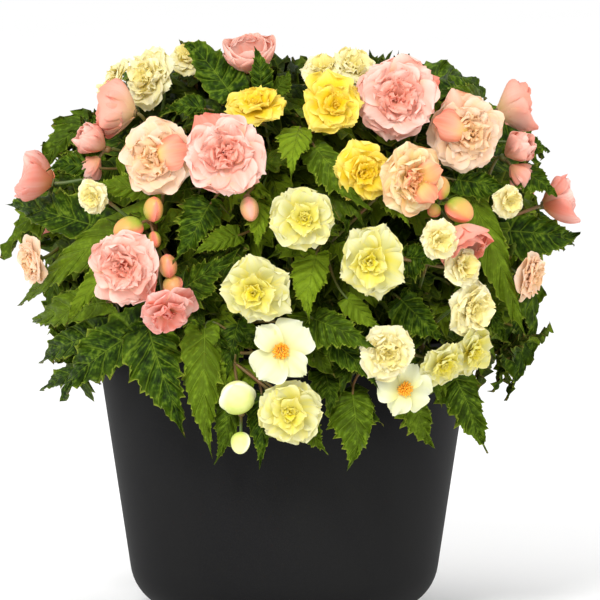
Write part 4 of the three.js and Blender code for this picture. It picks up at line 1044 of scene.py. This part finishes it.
# A petal's half-width in lengths, how much its sides rise, how strongly and how often it waves across, how
# frilled its edge is and how pointed its tip.
PetalForm = namedtuple("PetalForm", "broad cupped ruffle waves frill pointed")
BROAD = PetalForm(0.7, 0.12, 0.045, 1.3, 0.012, 0.0)
WAVED_GUARD = PetalForm(0.7, 0.12, 0.06, 1.9, 0.03, 0.0)
CUPPED = PetalForm(0.62, 0.56, 0.02, 1.1, 0.006, 0.0)
WAVED = PetalForm(0.58, 0.22, 0.12, 2.4, 0.05, 0.0)
CREST = PetalForm(0.34, 0.3, 0.08, 1.4, 0.05, 0.4)
JAGGED = PetalForm(0.6, 0.12, 0.06, 1.6, 0.035, 0.9)
NARROW = PetalForm(0.46, 0.22, 0.08, 1.6, 0.04, 0.7)
ACCENT = PetalForm(0.4, -0.34, 0.05, 1.7, 0.012, 0.0)

# Counts and form of the guard rings and of the inner rings, the length of the first inner ring in radii,
# how far petals stand out of line in degrees, how uneven their lengths are, petals of the crest, and the
# longest petal in radii.
STYLE_FIELDS = "guards guard inner petal first_inner loose uneven crest longest"
Style = namedtuple("Style", STYLE_FIELDS, defaults=(0, 1.02))
STYLES = {
    "pink": Style((5, 6), WAVED_GUARD, (6, 5, 5, 4), WAVED, 0.74, 32, 0.16),
    "coral": Style((5, 4), BROAD, (5, 4), WAVED, 0.8, 16, 0.1),
    "apricot": Style((5, 6), BROAD, (6, 6, 5, 5), WAVED, 0.76, 30, 0.12),
    "yellow": Style((5, 5), JAGGED, (6, 6, 5), NARROW, 0.82, 26, 0.24, 7, 1.1),
    "lemon": Style((5, 5), JAGGED, (5, 4), NARROW, 0.76, 26, 0.3, 8, 1.16),
    "cream": Style((6, 6), JAGGED._replace(frill=0.03, pointed=0.4), (6, 6, 5), WAVED, 0.82, 28, 0.18, 7),
}
ROUND_LEMONS = ("bloom_lemon_middle", "bloom_lemon_low")
PETAL_COLOURS = {  # petal, edge, heart, foot and flush of the back
    "pink": [(254, 210, 192), (255, 234, 223), (250, 168, 136), (253, 204, 140), (249, 184, 162)],
    "coral": [(251, 198, 180), (255, 232, 222), (243, 116, 86), (250, 178, 104), (245, 146, 122)],
    "apricot": [(254, 226, 198), (255, 240, 222), (253, 220, 156), (252, 228, 126), (250, 204, 172)],
    "sunset": [(254, 242, 168), (255, 251, 216), (250, 170, 92), (250, 208, 56), (252, 222, 154)],
    "yellow": [(252, 234, 66), (254, 244, 140), (252, 222, 6), (240, 206, 4), (250, 238, 120)],
    "lemon": [(224, 222, 150), (240, 239, 204), (253, 240, 48), (248, 232, 28), (220, 228, 158)],
    "cream": [(253, 248, 204), (255, 253, 230), (250, 238, 140), (244, 220, 84), (252, 240, 196)],
    "blush": [(254, 218, 200), (250, 178, 158), (250, 176, 146), (253, 226, 156), (253, 206, 186)],
    "white": [(246, 247, 214), (250, 251, 234), (244, 244, 186), (238, 232, 150), (238, 242, 212)],
}
CORAL_ACCENT = colour(246, 134, 104)
OWN_COLOURS = {
    "bloom_apricot_middle_right": "sunset", "bloom_cream_single_left": "white",
    "bloom_cream_single_right": "white", "bloom_cream_single_back": "white",
    "bloom_pink_cup_left": "blush", "bloom_pink_cup_right": "blush", "bloom_pink_low_right": "blush",
}
# Coral petals stand out beside some flowers: right and up on the photograph, the lean from the flower's
# axis in degrees, length in radii, half-width in lengths, how coral, and how far above the heart in radii.
ACCENT_PETALS = {
    "bloom_apricot_left": [(30, 4, 80, 1.14, 0.36, 0.9, 0.2)],
    "bloom_pink_front": [(-24, 34, 96, 1.2, 0.42, 0.85, 0)],
    "bloom_apricot_right": [(-30, 8, 80, 1.14, 0.36, 0.9, 0.24), (-12, 34, 92, 1.12, 0.4, 0.3, 0)],
    "bloom_pink_right": [(34, 14, 98, 1.12, 0.42, 0.85, 0)],
    "bloom_apricot_middle_right": [
        (24, 10, 62, 0.85, 0.42, 0.6, 0.16), (20, -20, 64, 0.85, 0.42, 0.8, 0.16),
        (-16, 4, 48, 0.55, 0.4, 1.0, 0.1),
    ],
    "bloom_coral_small_left": [(-16, 12, 88, 1.0, 0.5, 1.0, 0)],
    "bloom_pink_low_left": [(22, -26, 92, 1.06, 0.4, 0.7, 0)],
}


def petals(azimuth, reach, spread, curl, form, chance):
    """Petals in a flower's own frame, whose Z axis is the flower's. The middle line of each is an arc with
    a chord `reach` long at an angle `spread` to the axis, that bends outwards by `curl` from end to end.
    The half-width swells as a sine to two thirds of the length and rounds off, or narrows to a point, at
    the tip. The sides rise towards the axis with the square of the distance from the middle line, one side
    a little more, and sines of the place along and across wave them more and more towards the edge."""
    azimuth, reach, spread, curl = (np.reshape(p, (-1, 1, 1)) for p in (azimuth, reach, spread, curl))
    random = chance[:, :, None, None]
    u = np.linspace(0.03, 1, PETAL_ROWS)[:, None]
    v = np.linspace(-1, 1, PETAL_COLUMNS)
    point = form.pointed * random[2]
    notch = 0.07 * random[3] * np.exp(-((v / 0.25) ** 2)) * (1 - point)
    fringe = form.frill * np.sin(np.pi * (4.6 * v + 2 * random[0])) - notch
    rim = u * (1 - (0.16 + 0.14 * point) * v**2 * u**2 + fringe * u**3)
    turn = curl * (rim - 0.5)
    bow = reach / (2 * np.sin(curl / 2))
    along = bow * (np.sin(turn) + np.sin(curl / 2))
    off = bow * (np.cos(turn) - np.cos(curl / 2))
    swell = np.sin(np.pi / 2 * np.minimum(u / 0.62, 1)) ** 0.8
    end = np.clip((u - 0.62) / 0.38, 0, 1)
    rounding = (1 - (0.8 + 0.12 * point) * end ** (2.4 - point)) ** 0.5
    half = np.reshape(form.broad, (-1, 1, 1)) * reach * (0.16 + 0.84 * swell) * rounding
    half = half * (0.88 + 0.24 * random[4])
    wave = np.sin(np.pi * (form.waves * v + 2 * random[1])) * u**2
    wave = wave + 0.8 * np.abs(v) * v * np.sin(2 * np.pi * (1.2 * u + random[2]))
    lift = (form.cupped * v**2 + 0.3 * (random[5] - 0.5) * v) * half + form.ruffle * reach * wave
    angle = spread + turn
    out = np.sin(spread) * along - np.cos(spread) * off - np.cos(angle) * lift
    height = np.cos(spread) * along + np.sin(spread) * off + np.sin(angle) * lift
    radial = stacked(np.cos(azimuth), np.sin(azimuth), 0.0)
    beside = stacked(-np.sin(azimuth), np.cos(azimuth), 0.0)
    pole = np.array([0, 0, 1.0])
    points = radial * out[..., None] - beside * (v * half)[..., None] + pole * height[..., None]
    facing = pole * np.sin(angle)[..., None] - radial * np.cos(angle)[..., None]
    return points, facing * PETAL_THICKNESS / 2


def petal_sheets(rings, material):
    """The part that rings of petals make. A ring has points, half-thicknesses and tones."""
    grid, lift, tone = (np.concatenate(part) for part in zip(*rings))
    v = np.linspace(-1, 1, PETAL_COLUMNS)
    u = np.linspace(0, 1, PETAL_ROWS)[:, None]
    return sheets(grid, lift, v, u, tone, material)


def petal_rings(radius, open_angle, style, draws):
    """A double flower's rings. From ring to ring the petals get shorter and stand up more, from the open
    angle outside to nearly upright in the heart, each a little out of line."""
    plan = []
    for k, count in enumerate(style.guards):
        plan.append((count, style.guard, 1 - 0.08 * k, 1 - 0.13 * k, 0.12 * k))
    inner = style.inner if radius > SMALL_FLOWER else style.inner[1::2]
    for k, count in enumerate(inner):
        inward = (k + 1) / len(inner)
        length = style.first_inner + (HEART_LENGTH - style.first_inner) * k / max(len(inner) - 1, 1)
        plan.append((count, style.petal, length, 0.78 * (1 - inward) ** 0.8 + 0.1, 0.25 + 0.75 * inward))
    if style.crest:
        plan[-1] = (*plan[-1][:3], 0.46, 0.75)
        plan += [(style.crest, CREST, 0.4, 0.5, 1.0), (5, CREST, 0.28, 0.24, 1.0)]
    is_cup = open_angle < CUP_OPEN
    off_centre = np.append(draws.normal(0, HEART_SHIFT, 2), 0) * radius
    rings = []
    for k, (count, form, length, openness, inward) in enumerate(plan):
        chance = draws.uniform(0, 1, (10, count))
        around_heart = (np.arange(count) + 0.4 * (chance[6] - 0.5)) / count
        azimuth = 2 * np.pi * around_heart + k * np.radians(GOLDEN_ANGLE)
        reach = radius * length * (style.longest - (style.uneven + 0.1 * inward) * chance[7])
        spread = open_angle * openness + np.radians(style.loose) * (0.3 + inward) * (chance[8] - 0.5)
        curl = np.radians(52 - 30 * inward + 24 * (chance[9] - 0.5))
        if k == len(plan) - 1 and not style.crest:
            curl = -curl - 0.4
        if is_cup and k < len(style.guards):
            form = CUPPED
            reach = reach * CUP_REACH
            spread = np.radians(CUP_LEAN - 7 * k + 10 * (chance[8] - 0.5))
            curl = np.radians(CUP_CURL + 20 * (chance[9] - 0.5))
        grid, lift = petals(azimuth, reach, spread, curl, form, chance)
        raised = 0.1 if is_cup else 1.4 if form is CREST else 1
        grid = grid + [0, 0, HEART_SHARE * radius * raised] + off_centre * inward
        rings.append((grid, lift, stacked(inward, chance[4], 0.0)))
    return rings


def accent_ring(flower, axes, draws):
    """A flower's coral petals as one more ring."""
    right, up, lean, length, broad, coral, raised = np.array(ACCENT_PETALS[flower["node"]]).T
    local = (right[:, None] * [1, 0, 0] + up[:, None] * up_in_view) @ axes.T
    chance = draws.uniform(0, 1, (10, len(lean)))
    azimuth, reach = np.arctan2(local[:, 1], local[:, 0]), length * flower["radius"]
    grid, lift = petals(azimuth, reach, np.radians(lean), 1.1, ACCENT._replace(broad=broad), chance)
    height = flower["radius"] * (HEART_SHARE + raised)[:, None, None, None]
    return grid + [0, 0, 1] * height, lift, stacked(0.0, chance[4], coral)


def petal_material(name, colours):
    """Silky petal: its colour deepens towards the heart of the flower and the foot of the petal and pales
    to the edge, with fine streaks along it and a flushed back, and some of the light goes through."""
    material, shader = new_material(name, Roughness=0.55, Specular_IOR_Level=0.15)
    across, along, back = marks_on(shader, "place")
    inward, lot, accent = marks_on(shader, "tone")
    petal, edge, heart, foot, flush = (colour(*values) for values in colours)
    spot = worked_out("CombineXYZ", {0: across * 6.0, 1: along * 1.1, 2: lot * 40.0 + inward})
    streaks = noise(spot, 1.6, 4.0)
    clouds = noise(spot, 0.35, 2.0)
    side = abs(across)
    near_edge = maths("MAXIMUM", side, along)
    skin = mixed(smooth_step(near_edge, 0.55, 1.0), petal, edge)
    skin = mixed(smooth_step(clouds, 0.45, 0.62) * 0.35, skin, heart)
    skin = mixed(smooth_step(inward, 0.3, 0.95) * smooth_step(along, 1.6, 0.5) * 0.85, skin, heart)
    skin = mixed(smooth_step(along, 0.6, 0.1) * 0.85, skin, foot)
    skin = mixed(smooth_step(streaks, 0.45, 0.75) * 0.25, skin, heart)
    skin = mixed(back * smooth_step(side, 0.1, 1.0) * 0.6, skin, flush)
    flame = accent * smooth_step(near_edge, 0.1, 0.95) * (1.25 - streaks * 0.8)
    skin = mixed(flame, skin, CORAL_ACCENT)
    finish_surface(shader, skin, streaks, 0.4, 0.6 * MM)
    through = worked_out("BsdfTranslucent", {"Color": mixed(0.3, skin, heart)})
    both = worked_out("MixShader", {0: 0.45, 1: Pattern(shader.outputs[0]), 2: through})
    feed(material.node_tree.nodes["Material Output"], "Surface", both)
    return material


def calyx(radius):
    """The fleshy joint behind a flower, turned about its axis, from the seat to the heart."""
    shares = np.array([(0, 0), (1, 0), (1.05, 0.1), (1.3, 0.5), (1.2, 0.9), (0.6, 1.05), (0, 1.06)])
    return *turned(shares * [SEAT_RADIUS, HEART_SHARE * radius], 14), stem_skin


petal_materials = {kind: petal_material(kind + "_petal", colours) for kind, colours in PETAL_COLOURS.items()}

# ---- Single flowers ----------------------------------------------------------------------------------
# Four crinkled white petals, two broad and two narrow, round a raised tuft of orange stamens.
SINGLE = PetalForm([0.66, 0.42, 0.64, 0.44], 0.15, 0.1, 1.7, 0.03, 0.2)
STAMENS = 46
STAMEN_SIZES = [0.75 * MM, 0.75 * MM, 2.3 * MM]
TUFT = 0.19  # radius of the dome they stand on, in the flower's radii

stamen_gold, shader = new_material("stamen_gold", Roughness=0.6)
dust = noise(place_on(shader), 600.0, 2.0)
gold = mixed(smooth_step(dust, 0.35, 0.7), colour(240, 150, 20), colour(252, 206, 66))
finish_surface(shader, gold, dust, 0.4, 0.3 * MM)


def ovals(centres, axes, sizes, rows, sides, material):
    """Closed ovals: circles of latitude about each oval's long axis, with half-axes of the sizes given."""
    polar = np.linspace(0.02, np.pi - 0.02, rows)[:, None]
    a = np.linspace(0, 2 * np.pi, sides, endpoint=False)
    ball = stacked(np.sin(polar) * np.cos(a), np.sin(polar) * np.sin(a), -np.cos(polar)) * sizes
    points = centres[:, None, None] + np.einsum("rsk,nkj->nrsj", ball, axes)
    return points.reshape(-1, 3), tube_faces(rows, sides, len(centres)), material


def single_ring(radius, open_angle, draws):
    """The ring of four petals, the broad pair across the narrow pair."""
    chance = draws.uniform(0, 1, (10, 4))
    azimuth = np.radians([0, 90, 180, 270]) + 0.3 * (chance[6] - 0.5)
    reach = radius * np.array([1.0, 0.98, 1.0, 0.96])
    curl = np.radians(30 + 20 * chance[8])
    grid, lift = petals(azimuth, reach, open_angle - np.radians([2, 12, 4, 16]), curl, SINGLE, chance)
    return grid + [0, 0, HEART_SHARE * radius], lift, stacked(0.1, chance[4], 0.0)


def tuft(radius, draws):
    """Stamens on a small dome over the heart: each an oval that points away from the dome's centre."""
    k = np.arange(STAMENS)
    pitch = np.arccos(1 - 0.85 * (k + 0.5) / STAMENS)
    turn = np.radians(GOLDEN_ANGLE) * k
    heading = stacked(np.sin(pitch) * np.cos(turn), np.sin(pitch) * np.sin(turn), np.cos(pitch))
    beside = unit(np.cross(heading, [0.3, 0.5, 0.2]))
    axes = np.stack([beside, np.cross(heading, beside), heading], 1)
    high = TUFT * radius * (0.8 + 0.4 * draws.uniform(0, 1, (len(k), 1)))
    return ovals(heading * high + [0, 0, HEART_SHARE * radius + MM], axes, STAMEN_SIZES, 5, 6, stamen_gold)


for node in sorted({flower["node"] for flower in flowers}):
    kind = node.split("_")[1]
    seed = sum(ord(letter) * (k + 1) for k, letter in enumerate(node))
    parts = []
    for number, flower in enumerate(f for f in flowers if f["node"] == node):
        random = np.random.default_rng(seed + number)
        axes = axes_towards(flower["axis"], random.uniform(0, 2 * np.pi))
        radius = flower["radius"] * (SMALL_FULLNESS if flower["radius"] < SMALL_FLOWER else 1)
        own = []
        if "single" in node:
            rings = [single_ring(radius, flower["open"], random)]
            own.append(tuft(radius, random))
        else:
            style = STYLES[kind]
            if node in ROUND_LEMONS:
                style = style._replace(guard=WAVED_GUARD, longest=1.04, uneven=0.1)
            rings = petal_rings(radius, flower["open"], style, random)
        if node in ACCENT_PETALS:
            rings.append(accent_ring(flower, axes, random))
        own += [petal_sheets(rings, petal_materials[OWN_COLOURS.get(node, kind)]), calyx(radius)]
        parts += [(points @ axes + flower["seat"], *rest) for points, *rest in own]
    add_piece(node.replace("bloom", "flower"), parts, "petal_" + kind, node)

# ---- Buds --------------------------------------------------------------------------------------------
# A closed bud is two round, fleshy guard petals pressed together, flushed green, orange and pink. It hangs
# on a short stalk from the joint that the spray shares. Two sprays have buds that begin to open.
BUD_ROWS = 22
BUD_SIDES = 32
BUD_STALK = 1.2 * MM
BUD_COLOURS = {  # foot, cheek and rim
    "buds_lemon_low": [(190, 204, 96), (236, 238, 158), (248, 248, 206)],
    "buds_coral_left": [(196, 170, 84), (230, 156, 104), (247, 142, 122)],
    "buds_pink_front": [(170, 162, 80), (224, 156, 116), (242, 160, 142)],
}
BUD_PLAIN = [(150, 168, 56), (222, 160, 92), (246, 132, 112)]
BUD_FULLNESS = np.array([1, 1.28, 0.97])  # of the real bud against its solid, along the same axes
HALF_OPEN = ("buds_far_left", "buds_far_right")
TULIP_RINGS = [(20, 2.1), (15, 2.15), (9, 1.95)]  # of three petals: lean in degrees, length in bud sizes
TULIP_CURL = np.radians(-82)
TULIP = CUPPED._replace(broad=0.5, cupped=0.6)
TULIP_SEED = 300


def bud_material(name, colours):
    """Fleshy bud skin: green at the foot, flushed over the cheeks and at the rim, with soft blotches."""
    material, shader = new_material(name, Roughness=0.4, Specular_IOR_Level=0.3)
    place = place_on(shader)
    across, along, _ = marks_on(shader, "place")
    blotch = noise(place, 90.0)
    foot, cheek, rim = (colour(*values) for values in colours)
    skin = mixed(smooth_step(blotch * 0.5 + along, 0.45, 1.05), foot, cheek)
    skin = mixed(smooth_step(blotch * -0.4 + across, 0.62, -0.1) * 0.95, skin, rim)
    finish_surface(shader, skin, noise(place, 420.0, 2.0), 0.2, 0.4 * MM)
    return material


def closed_bud(size, material):
    """A closed bud: an oval, heavier towards its foot by a cosine of its latitude. Along the edge where its
    two petals meet stands a rim of a narrow bell's shape, between two shallow creases."""
    polar = np.linspace(0.02, np.pi - 0.02, BUD_ROWS)[:, None]
    a = np.linspace(0, 2 * np.pi, BUD_SIDES, endpoint=False)
    face = np.abs(np.sin(a))
    rim = 0.05 * np.exp(-((face / 0.1) ** 2)) - 0.07 * np.exp(-(((face - 0.3) / 0.16) ** 2))
    ring = np.sin(polar) * (1 + rim * np.sin(polar)) * (1 + 0.1 * np.cos(polar))
    ball = stacked(ring * np.cos(a), ring * np.sin(a), -np.cos(polar)).reshape(-1, 3)
    place = stacked(face, np.linspace(0, 1, BUD_ROWS)[:, None], 0.0).reshape(-1, 3)
    return ball * BUD_SHAPE * BUD_FULLNESS * size, tube_faces(BUD_ROWS, BUD_SIDES), material, place


def half_open_bud(size, draws):
    """A bud that begins to open: three rings of broad petals closed like a tulip, standing on its foot."""
    rings = []
    for k, (lean, length) in enumerate(TULIP_RINGS):
        chance = draws.uniform(0, 1, (10, 3))
        azimuth = 2 * np.pi * (np.arange(3) + 0.2 * chance[6] + 0.5 * k) / 3
        spread = np.radians(lean + 8 * (chance[8] - 0.5))
        reach = size * length * (1 - 0.08 * chance[7])
        grid, lift = petals(azimuth, reach, spread, TULIP_CURL, TULIP, chance)
        rings.append((grid - [0, 0, size], lift, stacked(0.2 * k, chance[4], 0.25 * chance[5])))
    return petal_sheets(rings, petal_materials["pink"])


for number, spray in enumerate(sprays):
    node, joint = spray["node"], spray["joint"]
    skin = bud_material(node + "_skin", BUD_COLOURS.get(node, BUD_PLAIN))
    parts = []
    for centre, axes, size in spray["buds"]:
        if node in HALF_OPEN:
            points, *rest = half_open_bud(size, np.random.default_rng(TULIP_SEED + number))
        else:
            points, *rest = closed_bud(size, skin)
        foot = centre - axes[2] * size * 0.9
        bend = (joint + foot) / 2 + [0, 0, 2 * MM]
        parts += [(points @ axes + centre, *rest), stalks(joint, bend, foot, BUD_STALK)]
    knot_axes = axes_towards(spray["axis"], 0.0)[None]
    parts.append(ovals(joint[None], knot_axes, [SEAT_RADIUS] * 3, 10, 14, stem_skin))
    add_piece(node.replace("buds", "bud_spray"), parts, "bud", node)

look_low, look_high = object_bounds()
sizes = {"cad": [list(cad_low), list(cad_high)], "look": [list(look_low), list(look_high)]}
